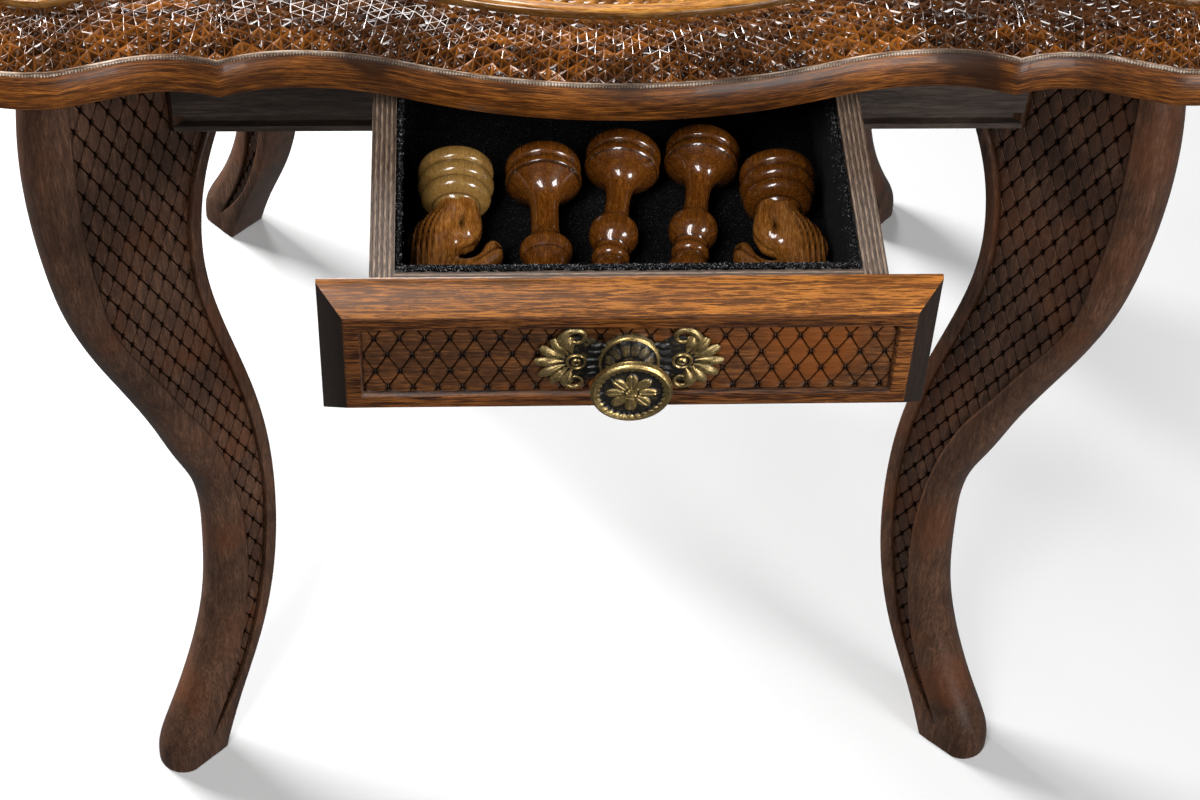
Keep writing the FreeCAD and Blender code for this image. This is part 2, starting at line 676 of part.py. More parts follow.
def table_parts():
    """Every piece by node name, placed in the table's frame."""
    parts = {
        "table_top": make_top(),
        "rope_moulding": make_rope_frame(),
        "board_panel": make_board_panel(),
        "board_border": make_board_border(),
        "dark_squares": make_squares(0),
        "light_squares": make_squares(1),
        "front_apron": make_drawer_apron(),
        "rear_apron": turned(make_drawer_apron(), 180),
        "left_apron": turned(make_plain_apron(), -90),
        "right_apron": turned(make_plain_apron(), 90),
        "leg_bolts": make_leg_bolts(),
        "leg_nuts": make_leg_nuts(),
        "top_screws": make_top_screws(),
        "left_runner": mirrored(make_runner()),
        "right_runner": make_runner(),
        "left_kicker": mirrored(make_kicker()),
        "right_kicker": make_kicker(),
        "drawer_stop": make_drawer_stop(),
    }
    leg = make_leg()
    block = make_corner_block()
    for corner, angle in DIAGONALS.items():
        parts[corner + "_leg"] = turned(leg, angle)
        parts[corner + "_block"] = turned(block, angle)
    for name, shape in drawer_parts().items():
        parts["front_" + name] = moved(shape, y=-DRAWER_TRAVEL)
        parts["rear_" + name] = turned(shape, 180)
    parts.update(chess_parts())
    return parts


os.makedirs("parts", exist_ok=True)
for node, solid in table_parts().items():
    solid.exportStep("parts/" + node + ".step")
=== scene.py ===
import math
import random
from functools import partial

import bpy
import numpy as np
from mathutils import Matrix, Vector


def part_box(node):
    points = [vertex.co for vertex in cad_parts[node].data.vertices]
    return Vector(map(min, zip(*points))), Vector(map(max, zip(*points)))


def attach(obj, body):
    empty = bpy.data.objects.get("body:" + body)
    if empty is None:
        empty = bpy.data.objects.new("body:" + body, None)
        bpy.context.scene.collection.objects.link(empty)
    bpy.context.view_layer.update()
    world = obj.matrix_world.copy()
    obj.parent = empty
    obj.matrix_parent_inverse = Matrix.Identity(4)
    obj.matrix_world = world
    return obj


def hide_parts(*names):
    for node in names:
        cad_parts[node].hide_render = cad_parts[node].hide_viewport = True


# Carved chess table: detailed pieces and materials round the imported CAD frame.
# Shapes are built in millimetres in the table's own frame and turned into metres at the end.

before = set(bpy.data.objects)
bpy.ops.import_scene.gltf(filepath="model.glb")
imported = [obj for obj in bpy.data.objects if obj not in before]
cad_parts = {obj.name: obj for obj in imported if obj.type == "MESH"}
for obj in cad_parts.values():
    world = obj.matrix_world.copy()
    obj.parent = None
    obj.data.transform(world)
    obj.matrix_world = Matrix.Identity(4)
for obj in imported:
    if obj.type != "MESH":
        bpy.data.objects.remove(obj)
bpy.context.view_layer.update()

MM = 0.001
RANDOM = random.Random(7)

# Table top
UNDERSIDE_Z = 735.0
SURFACE_Z = 766.0
BAND_TOP_Z = 757.6
BOW = ((-112.0, -400.1), (0.0, -418.0), (112.0, -400.1))
FLANK_ARCS = (((112.0, -400.1), (140.0, -393.3), (168.0, -391.1)),
              ((168.0, -391.1), (189.0, -393.3), (207.0, -399.0)),
              ((207.0, -399.0), (232.0, -394.0), (256.0, -397.3)))
CREASE = (288.0, -407.3)
LOBE_MIDDLE = (300.0 + 108.0 / math.sqrt(2), -300.0 - 108.0 / math.sqrt(2))
SIDE_COLUMNS = 120
LOBE_COLUMNS = 40
COLUMNS = 4 * (SIDE_COLUMNS + LOBE_COLUMNS)
BORDER_INSET = 44.0
MOULDING_INSET = 68.0
POCKET_HALF = 215.0
POCKET_FLOOR_Z = 761.0
CROWN_INSETS = (0.0, 4.0, 8.0, 14.0, 22.0, 32.0, 44.0)
CROWN_HEIGHTS = (758.2, 761.3, 763.7, 766.0, 767.3, 767.6, 766.6)
CARVING_START = 1.8
CARVING_PITCH = (BORDER_INSET - CARVING_START) / 7
PIT_DEPTH = 2.3

# Legs, as (distance along the diagonal, height)
LEG_HALF = 18.5
LEG_INNER = ((389, 0), (375, 36), (345.5, 101), (327, 169), (321, 235), (323, 299), (332, 356),
             (350, 430), (359.5, 487), (358.5, 524), (348.5, 566), (330, 604))
LEG_OUTER = ((434, 0), (433, 16), (418, 48), (394.5, 93), (377.5, 144), (372, 182), (370, 214),
             (370, 249), (375, 277), (387, 310), (400, 348), (421.5, 403), (442.5, 456), (455, 501),
             (461, 540), (464.5, 590), (463, 635), (456, 680), (446, 735))
FIELD_INNER = ((402, 22), (380, 51), (357, 95), (337, 168), (329.5, 240), (332, 300), (341, 356),
               (359, 430), (368, 487), (367, 524), (357.5, 566), (343, 596))
FIELD_OUTER = ((402, 22), (384, 56), (366, 100), (354, 156), (350, 210), (352, 250), (358, 290),
               (365, 318), (374, 344), (387, 372), (405, 413), (423, 452), (435, 488), (439.5, 524),
               (443, 558), (443.5, 597), (441, 660), (434, 735))
FIELD_TOE_Z = 22.0
SHOULDER = (371.5, 603.0)
LEG_LATTICE = (12.2, 24.8)
LEG_LATTICE_NODE = (400.9, 642.1)
LEG_FIELD_Y = 14.2

# Drawer fronts, with Y measured forward from the board's back
FRONT_HALF = (155.0, 45.0)
FRONT_THICKNESS = 16.0
FRONT_CHAMFER = 13.0
FIELD_HALF = (134.5, 24.0)
FIELD_Y = 13.0
FRONT_LATTICE = (12.5, 23.3)
FRONT_LATTICE_NODE = (4.0, 3.3)
PULL_Z = 677.0


# ---- Small helpers ----

class Shape:
    """Points in millimetres, faces, cavity shading and material numbers of one piece."""

    def __init__(self):
        self.points = []
        self.faces = []
        self.cavity = []
        self.slots = []
        self.grain = []

    def add(self, points, faces, cavity=0.0, slot=0, grain=None):
        """Adds a part. Cavity is 0 on open surface and 1 at the bottom of a cut."""
        base = len(self.points)
        rows = [tuple(map(float, p)) for p in points]
        self.points.extend(rows)
        self.join([tuple(base + i for i in face) for face in faces], slot)
        self.cavity.extend(np.broadcast_to(np.asarray(cavity, float), (len(rows),)))
        self.grain.extend(rows if grain is None else [tuple(map(float, g)) for g in grain])

    def join(self, faces, slot):
        """Adds faces between points that are already there."""
        self.faces.extend(faces)
        self.slots.extend([slot] * len(faces))

    def mesh(self, name, materials, sharp):
        """Blender mesh in metres, smooth except at edges sharper than an angle."""
        mesh = bpy.data.meshes.new(name)
        mesh.from_pydata((np.array(self.points) * MM).tolist(), [], self.faces)
        for material in materials:
            mesh.materials.append(material)
        mesh.polygons.foreach_set("material_index", self.slots)
        cavity = mesh.attributes.new("cavity", "FLOAT", "POINT")
        cavity.data.foreach_set("value", np.array(self.cavity, np.float32))
        grain = mesh.attributes.new("grain_at", "FLOAT_VECTOR", "POINT")
        grain.data.foreach_set("vector", (np.array(self.grain, np.float32) * MM).ravel())
        mesh.shade_smooth()
        mesh.set_sharp_from_angle(angle=math.radians(sharp))
        mesh.update()
        return mesh


def new_object(name, data, matrix=None):
    """Object for a mesh, light or camera, linked into the scene."""
    made = bpy.data.objects.new(name, data)
    bpy.context.scene.collection.objects.link(made)
    if matrix is not None:
        made.matrix_world = matrix
    return made


def put(name, mesh, body, replaced, matrix=None):
    """Object for a finished mesh, riding on a body and standing for its CAD nodes."""
    piece = new_object(name, mesh, matrix)
    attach(piece, body)
    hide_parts(*replaced)


def turn_z(degrees):
    """Turn about the table's vertical axis."""
    return Matrix.Rotation(math.radians(degrees), 4, "Z")


def shift(x, y, z):
    """Move by millimetres."""
    return Matrix.Translation(Vector((x, y, z)) * MM)


def grid_faces(rows, columns, close_rows=False, close_columns=False):
    """Quads between neighbouring points of a grid stored row by row."""
    faces = []
    for i in range(rows if close_rows else rows - 1):
        for j in range(columns if close_columns else columns - 1):
            i2 = (i + 1) % rows
            j2 = (j + 1) % columns
            faces.append((i * columns + j, i * columns + j2, i2 * columns + j2, i2 * columns + j))
    return faces


def closed_grid(rows, columns):
    """Quads of a grid whose rows are rings, with a cap on the first and the last ring."""
    faces = grid_faces(rows, columns, close_columns=True)
    faces.append(tuple(range(columns - 1, -1, -1)))
    faces.append(tuple(range((rows - 1) * columns, rows * columns)))
    return faces


def round_angles(sides):
    """Angles evenly spaced round a circle."""
    return np.arange(sides) * 2 * math.pi / sides


def lengths_along(line):
    """Distance along a line to each of its points."""
    return np.concatenate(([0.0], np.cumsum(np.linalg.norm(np.diff(line, axis=0), axis=1))))


def unit_rows(rows):
    """Rows scaled to length 1."""
    return rows / np.linalg.norm(rows, axis=1)[:, None]


def spline(points, step):
    """Smooth curve through points, as points about a step apart."""
    given = np.array(points, float)
    at = lengths_along(given)
    gap = np.diff(at)
    count = len(given)
    system = np.eye(count)
    target = np.zeros_like(given)
    for i in range(1, count - 1):
        system[i, i - 1:i + 2] = (gap[i - 1], 2 * (gap[i - 1] + gap[i]), gap[i])
        target[i] = 6 * ((given[i + 1] - given[i]) / gap[i] - (given[i] - given[i - 1]) / gap[i - 1])
    bend = np.linalg.solve(system, target)
    wanted = np.linspace(0.0, at[-1], max(2, int(at[-1] / step) + 1))
    i = np.clip(np.searchsorted(at, wanted, side="right") - 1, 0, count - 2)
    h = gap[i][:, None]
    a = (at[i + 1] - wanted)[:, None]
    b = (wanted - at[i])[:, None]
    return ((bend[i] * a ** 3 + bend[i + 1] * b ** 3) / (6 * h)
            + (given[i] / h - bend[i] * h / 6) * a + (given[i + 1] / h - bend[i + 1] * h / 6) * b)


def tube(shape, path, radii, sides, flatten, cavity):
    """Closed round bar along a path with a radius at each point, flattened along Y."""
    along = unit_rows(np.gradient(path, axis=0))
    across = unit_rows(np.cross(along, (0.0, 1.0, 0.0)))
    lift = np.cross(across, along)
    points = [p + r * (math.cos(t) * x + math.sin(t) * flatten * y)
              for p, r, x, y in zip(path, radii, across, lift) for t in round_angles(sides)]
    shape.add(points, closed_grid(len(path), sides), cavity)


# ---- Materials ----

BLACK = (0, 0, 0, 1)
WHITE = (1, 1, 1, 1)
# where a Mix node keeps its factor, its two colours and its mixed colour
COLOUR_MIX_INPUTS = (0, 6, 7)
COLOUR_MIX_OUTPUT = 2
TONE_SPREAD = 0.1
LEAST_PORE_STRETCH = 0.08
WOOD_RELIEF = 0.35
PLY_PAIR = 2.6


def grey(value):
    """Linear grey with alpha."""
    return (value, value, value, 1)


def feed(tree, socket, value):
    """Sets an input, or links it when the value is another node's output."""
    if isinstance(value, bpy.types.NodeSocket):
        tree.links.new(value, socket)
    else:
        socket.default_value = value


def add_node(tree, kind, inputs=None, **settings):
    """Shader node with its settings and input values; an input may be another node's output."""
    node = tree.nodes.new(kind)
    for name, value in settings.items():
        setattr(node, name, value)
    for name, value in (inputs or {}).items():
        feed(tree, node.inputs[name], value)
    return node


def colour(values):
    """Linear colour with alpha from three sRGB values from 0 to 255."""
    linear = [(v / 255 / 12.92 if v <= 10 else ((v / 255 + 0.055) / 1.055) ** 2.4) for v in values]
    return (*linear, 1.0)


def ramp(tree, factor, stops):
    """Colour ramp output through (position, colour) stops."""
    node = add_node(tree, "ShaderNodeValToRGB", {"Fac": factor})
    elements = node.color_ramp.elements
    elements[0].position, elements[0].color = stops[0]
    elements[1].position, elements[1].color = stops[-1]
    for position, value in stops[1:-1]:
        elements.new(position).color = value
    return node.outputs["Color"]


def blend_colours(tree, factor, a, b, mode="MIX"):
    """Mix of two colours."""
    node = add_node(tree, "ShaderNodeMix", data_type="RGBA", blend_type=mode)
    for index, value in zip(COLOUR_MIX_INPUTS, (factor, a, b)):
        feed(tree, node.inputs[index], value)
    return node.outputs[COLOUR_MIX_OUTPUT]


def maths(tree, operation, a, b, clamp=False):
    """Result of an operation on two values."""
    node = add_node(tree, "ShaderNodeMath", {0: a, 1: b}, operation=operation, use_clamp=clamp)
    return node.outputs[0]


def times(tree, a, b, clamp=False):
    """Product of two values."""
    return maths(tree, "MULTIPLY", a, b, clamp)


def noise(tree, place, scale, detail, rough=0.55, distortion=0.0):
    """Noise value at a place."""
    node = add_node(tree, "ShaderNodeTexNoise",
                    {"Vector": place, "Scale": scale, "Detail": detail, "Roughness": rough,
                     "Distortion": distortion})
    return node.outputs["Fac"]


def stretched(tree, place, scale):
    """Coordinates scaled along each axis."""
    return add_node(tree, "ShaderNodeMapping", {"Vector": place, "Scale": scale}).outputs[0]


def new_material(name):
    """Empty material with its tree, principled shader and object coordinates."""
    material = bpy.data.materials.new(name)
    material.use_nodes = True
    tree = material.node_tree
    tree.nodes.clear()
    output = add_node(tree, "ShaderNodeOutputMaterial")
    shader = add_node(tree, "ShaderNodeBsdfPrincipled")
    tree.links.new(shader.outputs[0], output.inputs[0])
    place = add_node(tree, "ShaderNodeTexCoord").outputs["Object"]
    return material, tree, shader, place


def set_inputs(tree, shader, **values):
    """Sets or links a shader's inputs; an underscore stands for a space."""
    for name, value in values.items():
        feed(tree, shader.inputs[name.replace("_", " ")], value)


def bump(tree, height, strength, distance=0.0004):
    """Normal output for a height."""
    return add_node(tree, "ShaderNodeBump", {"Height": height, "Strength": strength,
                                             "Distance": distance}).outputs[0]


# The cavity attribute sets the painted shade in cut wood and the patina in the brass's hollows.
def cavity_depth(tree):
    """How deep in a cut a point of the mesh lies, from 0 to 1."""
    return add_node(tree, "ShaderNodeAttribute", attribute_name="cavity").outputs["Fac"]


def edge_sharpness(tree):
    """Pointiness of the surface: above a half on ridges and below it in hollows."""
    return add_node(tree, "ShaderNodeNewGeometry").outputs["Pointiness"]


# Lays real stains, pores, wear and specks, and also the painted shade in cuts.
def stain_and_shade(tree, base, where, amount, tint):
    """Lays a colour over a base by a mask times an amount."""
    return blend_colours(tree, times(tree, where, amount), base, colour(tint))


def wood_grain(tree, place, grain):
    """Long figure and fine fibres mixed into one tone, the fibres alone, and a mask of the pores."""
    along = stretched(tree, place, grain)
    figure = noise(tree, along, 190.0, 4.0, 0.6, 0.8)
    fibres = noise(tree, along, 760.0, 4.0, 0.72, 0.3)
    tone = maths(tree, "ADD", times(tree, figure, 0.4), times(tree, fibres, 0.6))
    pore_place = stretched(tree, place, [max(g, LEAST_PORE_STRETCH) for g in grain])
    pores = ramp(tree, noise(tree, pore_place, 1700.0, 2.0, 0.6), [(0.30, WHITE), (0.44, BLACK)])
    return tone, fibres, pores


def wood(name, dark, middle, light, grain, follows_outline=False, rough=0.35, coat=0.0, cavity=0.0,
         pit=(14, 9, 6), patch=None, patch_amount=0.0, pores=0.5, wear=0.2, contrast=1.0,
         specular=0.35, matte_cuts=0.0):
    """Stained wood: long grain, pores, patches, painted shade in the cuts and paler worn edges, under
    lacquer.
    """
    material, tree, shader, place = new_material(name)
    if follows_outline:
        place = add_node(tree, "ShaderNodeAttribute", attribute_name="grain_at").outputs["Vector"]
    tone, fibres, pore_mask = wood_grain(tree, place, grain)
    spread = TONE_SPREAD / contrast
    base = ramp(tree, tone, [(0.5 - spread, colour(dark)), (0.5, colour(middle)),
                             (0.5 + spread, colour(light))])
    base = stain_and_shade(tree, base, pore_mask, pores, pit)
    blotches = noise(tree, place, 11.0, 4.0, 0.6)
    shade = ramp(tree, blotches, [(0.34, (0.55, 0.52, 0.5, 1)), (0.66, grey(1.35))])
    base = blend_colours(tree, 1.0, base, shade, "MULTIPLY")
    if patch:
        where = ramp(tree, noise(tree, place, 16.0, 3.0, 0.5), [(0.50, BLACK), (0.64, WHITE)])
        base = stain_and_shade(tree, base, where, patch_amount, patch)
    if wear:
        edge = ramp(tree, edge_sharpness(tree), [(0.52, BLACK), (0.60, WHITE)])
        base = stain_and_shade(tree, base, edge, wear, light)
    # Painted shade: the pit colour laid into cuts, pits and grooves by the cavity attribute.
    if cavity:
        base = stain_and_shade(tree, base, cavity_depth(tree), cavity, pit)
    gloss = ramp(tree, fibres, [(0.3, grey(rough - 0.06)), (0.7, grey(rough + 0.12))])
    if matte_cuts:
        open_surface = maths(tree, "SUBTRACT", 1.0, times(tree, cavity_depth(tree), matte_cuts, True))
        specular = times(tree, open_surface, specular)
        coat = times(tree, open_surface, coat)
    set_inputs(tree, shader, Base_Color=base, Roughness=gloss, Normal=bump(tree, tone, WOOD_RELIEF),
               Specular_IOR_Level=specular, Coat_Weight=coat, Coat_Roughness=0.05)
    return material


def plywood(name, axis):
    """Thin layers stacked along an axis, pinkish and grey-brown, seen on the cut edges."""
    material, tree, shader, place = new_material(name)
    parts = add_node(tree, "ShaderNodeSeparateXYZ", {"Vector": place})
    waver = noise(tree, place, 30.0, 2.0)
    along = maths(tree, "ADD", parts.outputs[axis], times(tree, waver, 0.0005))
    layer = maths(tree, "FRACT", times(tree, along, 1000 / PLY_PAIR), 0.0)
    scale = [60.0, 60.0, 60.0]
    scale["XYZ".index(axis)] = 420.0
    scale["XY".index("Y" if axis == "X" else "X")] = 34.0
    grain = noise(tree, stretched(tree, place, scale), 4.0, 5.0, 0.7)
    bands = ramp(tree, layer, [(0.0, colour((70, 54, 44))), (0.12, colour((140, 118, 100))),
                               (0.46, colour((156, 132, 112))), (0.52, colour((66, 50, 40))),
                               (0.60, colour((108, 88, 74))), (1.0, colour((74, 58, 48)))])
    shade = ramp(tree, grain, [(0.40, grey(0.35)), (0.60, grey(1.2))])
    base = blend_colours(tree, 1.0, bands, shade, "MULTIPLY")
    set_inputs(tree, shader, Base_Color=base, Roughness=0.6, Normal=bump(tree, grain, 0.4))
    return material


def felt(name):
    """Black needled felt with pale specks of lint."""
    material, tree, shader, place = new_material(name)
    fuzz = noise(tree, place, 900.0, 4.0, 0.7)
    specks = ramp(tree, noise(tree, place, 2300.0, 2.0, 0.5), [(0.66, BLACK), (0.72, WHITE)])
    shade = ramp(tree, fuzz, [(0.35, colour((2, 2, 2))), (0.7, colour((11, 11, 12)))])
    base = stain_and_shade(tree, shade, specks, 0.6, (150, 150, 152))
    set_inputs(tree, shader, Base_Color=base, Roughness=0.95, Sheen_Weight=0.02, Specular_IOR_Level=0.03,
               Normal=bump(tree, fuzz, 1.0, 0.0008))
    return material


def lint(name):
    """Loose grey fibres of the felt."""
    material, tree, shader, place = new_material(name)
    tone = noise(tree, place, 700.0, 2.0)
    base = ramp(tree, tone, [(0.36, colour((40, 40, 42))), (0.62, colour((196, 196, 200)))])
    set_inputs(tree, shader, Base_Color=base, Roughness=0.8, Specular_IOR_Level=0.2)
    return material


def brass(name):
    """Old brass: gold on raised surfaces, black patina in hollows."""
    material, tree, shader, place = new_material(name)
    grime = noise(tree, place, 260.0, 6.0, 0.7)
    spots = noise(tree, place, 900.0, 3.0, 0.6)
    hollow = ramp(tree, edge_sharpness(tree), [(0.44, WHITE), (0.50, BLACK)])
    dirt = maths(tree, "ADD", times(tree, hollow, 0.5), cavity_depth(tree))
    dirt = maths(tree, "ADD", dirt, times(tree, maths(tree, "SUBTRACT", grime, 0.5), 0.9), True)
    gold = ramp(tree, spots, [(0.3, colour((142, 114, 68))), (0.55, colour((204, 176, 116))),
                              (0.8, colour((236, 214, 158)))])
    base = blend_colours(tree, dirt, gold, colour((17, 15, 14)))
    metal = ramp(tree, dirt, [(0.3, WHITE), (0.8, grey(0.25))])
    rough = ramp(tree, grime, [(0.3, grey(0.26)), (0.75, grey(0.48))])
    set_inputs(tree, shader, Base_Color=base, Metallic=metal, Roughness=rough,
               Normal=bump(tree, spots, 0.35))
    return material


def steel(name):
    """Dull zinc-plated steel."""
    material, tree, shader, place = new_material(name)
    spangle = noise(tree, place, 400.0, 3.0, 0.6)
    base = ramp(tree, spangle, [(0.3, colour((120, 122, 126))), (0.7, colour((176, 178, 180)))])
    rough = ramp(tree, spangle, [(0.3, grey(0.3)), (0.7, grey(0.45))])
    set_inputs(tree, shader, Base_Color=base, Metallic=1.0, Roughness=rough, Normal=bump(tree, spangle, 0.1))
    return material


ALONG_X = (0.09, 1, 1)
ALONG_Y = (1, 0.09, 1)
ALONG_Z = (1, 1, 0.09)
FINE_ALONG_X = (0.1, 2.2, 2.2)
FINE_ALONG_Z = (2.4, 2.4, 0.3)
LEG_ALONG_Z = (1.8, 1.8, 0.16)
# dark, middle and light tones that several woods share
APRON_TONES = ((28, 22, 18), (48, 39, 34), (70, 58, 50))
PALE_TONES = ((150, 118, 80), (182, 148, 106), (208, 176, 134))
# In these woods, pit colours the pores and the painted shade in cuts, and cavity sets how strong that painted
# shade is.
BAND_WOOD = wood("band_wood", (42, 20, 3), (86, 46, 13), (140, 84, 30), FINE_ALONG_X,
                 follows_outline=True, rough=0.4, coat=0.12, cavity=0.6, patch=(36, 16, 3),
                 patch_amount=0.9, contrast=1.1)
CARVED_WOOD = wood("carved_wood", (48, 23, 4), (102, 56, 14), (164, 98, 32), FINE_ALONG_X,
                   follows_outline=True, rough=0.26, coat=1.0, cavity=0.88, pit=(20, 10, 3),
                   patch=(46, 22, 6), patch_amount=0.7, wear=0.0, contrast=1.1, specular=0.2)
CORD_WOOD = wood("cord_wood", (92, 70, 54), (158, 134, 114), (216, 198, 180), ALONG_X,
                 follows_outline=True, rough=0.75, cavity=0.9, pit=(30, 18, 10), patch=(60, 40, 24),
                 patch_amount=0.8, contrast=1.4)
MOULDING_WOOD = wood("moulding_wood", (100, 56, 16), (170, 110, 42), (216, 156, 76), ALONG_X,
                     follows_outline=True, rough=0.26, coat=0.8, cavity=0.95, pit=(30, 15, 5))
LEG_WOOD = wood("leg_wood", (46, 30, 21), (74, 51, 38), (110, 79, 60), LEG_ALONG_Z, rough=0.32,
                coat=0.6, cavity=0.985, pit=(6, 4, 3), patch=(96, 52, 26), patch_amount=0.35,
                contrast=0.6, specular=0.25, matte_cuts=2.0)
APRON_WOOD_X = wood("apron_wood_x", *APRON_TONES, ALONG_X, rough=0.5)
APRON_WOOD_Y = wood("apron_wood_y", *APRON_TONES, ALONG_Y, rough=0.5)
CHAMFER_WOOD = wood("chamfer_wood", (34, 13, 4), (92, 47, 13), (176, 110, 42), FINE_ALONG_X, rough=0.3,
                    coat=0.5, patch=(84, 38, 12), patch_amount=0.55, pores=0.8, contrast=3.0)
FRONT_WOOD = wood("front_wood", (36, 15, 4), (74, 39, 14), (120, 72, 30), FINE_ALONG_X, rough=0.32,
                  coat=0.4, cavity=0.97, pit=(8, 5, 3), patch=(44, 20, 8), patch_amount=0.6,
                  contrast=2.2)
FRONT_END_WOOD = wood("front_end_wood", (12, 8, 5), (22, 14, 9), (40, 25, 16), ALONG_Z, rough=0.4,
                      coat=0.2, wear=0.4)
FIELD_WOOD = wood("field_wood", (32, 17, 8), (72, 43, 22), (126, 78, 38), ALONG_X, rough=0.28, coat=0.6,
                  cavity=0.985, pit=(6, 4, 3), patch=(118, 62, 18), patch_amount=0.65, contrast=0.6)
BLOCK_WOOD = wood("block_wood", *PALE_TONES, ALONG_Z, rough=0.6)
TRACK_WOOD = wood("track_wood", *PALE_TONES, ALONG_Y, rough=0.5)
STOP_WOOD = wood("stop_wood", *PALE_TONES, ALONG_X, rough=0.5)
DARK_VENEER = wood("dark_veneer", (44, 26, 16), (74, 46, 30), (104, 68, 46), ALONG_Y, rough=0.25,
                   coat=0.8)
LIGHT_VENEER = wood("light_veneer", (186, 142, 90), (212, 170, 116), (230, 194, 144), ALONG_Y,
                    rough=0.25, coat=0.8, pit=(120, 84, 50), pores=0.2)
BORDER_VENEER = wood("border_wood", (66, 36, 18), (108, 64, 34), (144, 92, 52), ALONG_X, rough=0.25,
                     coat=0.8)
PANEL_WOOD = wood("panel_wood", (140, 110, 76), (172, 140, 100), (196, 166, 126), ALONG_X, rough=0.6)
PIECE_WOOD = wood("piece_wood", (44, 19, 4), (98, 54, 15), (164, 102, 36), FINE_ALONG_Z, rough=0.2,
                  coat=1.0, cavity=0.9, pit=(22, 10, 3), patch=(150, 88, 26), patch_amount=0.6,
                  pores=0.15, contrast=0.45, specular=0.2)
PALE_PIECE_WOOD = wood("pale_piece_wood", (110, 78, 34), (150, 114, 60), (192, 154, 90), FINE_ALONG_Z,
                       rough=0.2, coat=1.0, cavity=0.9, pit=(30, 16, 6), patch=(120, 76, 30),
                       patch_amount=0.7, pores=0.15, contrast=0.5, specular=0.2)
HEAD_WOOD = wood("head_wood", (74, 36, 9), (140, 86, 32), (200, 140, 70), FINE_ALONG_Z, rough=0.2,
                 coat=1.0, cavity=0.97, pit=(20, 9, 3), patch=(60, 28, 8), patch_amount=0.8, pores=0.15,
                 contrast=0.55, specular=0.2)
PLY_SIDE = plywood("ply_side", "X")
PLY_END = plywood("ply_end", "Y")
PLY_SHEET = wood("ply_sheet", (104, 82, 68), (136, 110, 92), (162, 134, 114), ALONG_Y, rough=0.6)
FELT = felt("black_needled_felt")
LINT = lint("grey_lint")
BRASS = brass("old_brass")
STEEL = steel("zinc_plated_steel")


# ---- Table top ----

SMOOTHED_COLUMNS = 11
INSET_HALVINGS = 24


def arc_through(points):
    """Points about a millimetre apart along the arc through three plan points."""
    a, b, c = [np.array(p, float) for p in points]
    system = 2 * np.array([b - a, c - a])
    centre = np.linalg.solve(system, [b @ b - a @ a, c @ c - a @ a])
    radius = np.linalg.norm(a - centre)
    start, middle, end = [math.atan2(*(p - centre)[::-1]) for p in (a, b, c)]
    sweep = (end - start) % (2 * math.pi)
    if (middle - start) % (2 * math.pi) > sweep:
        sweep -= 2 * math.pi
    angles = start + np.linspace(0.0, sweep, max(3, int(abs(sweep) * radius)))
    return centre + radius * np.stack((np.cos(angles), np.sin(angles)), 1)


def resample(line, count):
    """Evenly spaced points along a line, without its last point."""
    at = lengths_along(line)
    wanted = np.arange(count) * at[-1] / count
    return np.stack([np.interp(wanted, at, line[:, k]) for k in (0, 1)], 1)


def top_outline():
    """Evenly spaced columns round the scalloped outline, anticlockwise from above."""
    flank = np.concatenate([arc_through(arc) for arc in FLANK_ARCS] + [np.array([CREASE])])
    side = np.concatenate((flank[::-1] * (-1, 1), arc_through(BOW), flank))
    side = side[np.concatenate(([True], np.linalg.norm(np.diff(side, axis=0), axis=1) > 1e-6))]
    lobe = arc_through((CREASE, LOBE_MIDDLE, (-CREASE[1], -CREASE[0])))
    quarter = np.concatenate((resample(side, SIDE_COLUMNS), resample(lobe, LOBE_COLUMNS)))
    return np.concatenate([quarter @ np.array(((math.cos(a), math.sin(a)), (-math.sin(a), math.cos(a))))
                           for a in (0.0, math.pi / 2, math.pi, -math.pi / 2)])


def clearance(points, outline):
    """Distance of each point from a closed outline."""
    along = np.roll(outline, -1, 0) - outline
    apart = points[:, None] - outline
    share = np.clip((apart * along).sum(2) / (along ** 2).sum(1), 0, 1)
    return np.linalg.norm(apart - share[:, :, None] * along, axis=2).min(1)


def inset_columns(outline, inset):
    """The outline's columns moved inwards until they are an inset away from it."""
    along = np.roll(outline, -1, 0) - np.roll(outline, 1, 0)
    inward = unit_rows(np.stack((-along[:, 1], along[:, 0]), 1))
    weights = np.hanning(SMOOTHED_COLUMNS)
    inward = unit_rows(sum(w * np.roll(inward, k - SMOOTHED_COLUMNS // 2, 0)
                           for k, w in enumerate(weights)))
    near = np.full(len(outline), 0.6 * inset)
    far = np.full(len(outline), 1.6 * inset)
    for _ in range(INSET_HALVINGS):
        middle = (near + far) / 2
        short = clearance(outline + middle[:, None] * inward, outline) < inset
        near = np.where(short, middle, near)
        far = np.where(short, far, middle)
    return outline + ((near + far) / 2)[:, None] * inward


OUTLINE = top_outline()
BORDER_LINE = inset_columns(OUTLINE, BORDER_INSET)
INNER_LINE = inset_columns(OUTLINE, MOULDING_INSET)
COLUMN_PITCH = float(np.linalg.norm(np.roll(OUTLINE, -1, 0) - OUTLINE, axis=1).sum()) / COLUMNS


def grain_along(column):
    """Grain coordinate of a column; it runs out and back round the outline, so it never jumps."""
    return abs(column % COLUMNS - COLUMNS / 2) * COLUMN_PITCH


def plan_at(column, inset):
    """Plan point at a whole or part column and an inset from the outline."""
    low = int(math.floor(column)) % COLUMNS
    high = (low + 1) % COLUMNS
    part = column - math.floor(column)
    if inset <= BORDER_INSET:
        outer, inner = OUTLINE, BORDER_LINE
        share = inset / BORDER_INSET
    else:
        outer, inner = BORDER_LINE, INNER_LINE
        share = (inset - BORDER_INSET) / (MOULDING_INSET - BORDER_INSET)
    a, b = [outer[k] * (1 - share) + inner[k] * share for k in (low, high)]
    return a * (1 - part) + b * part


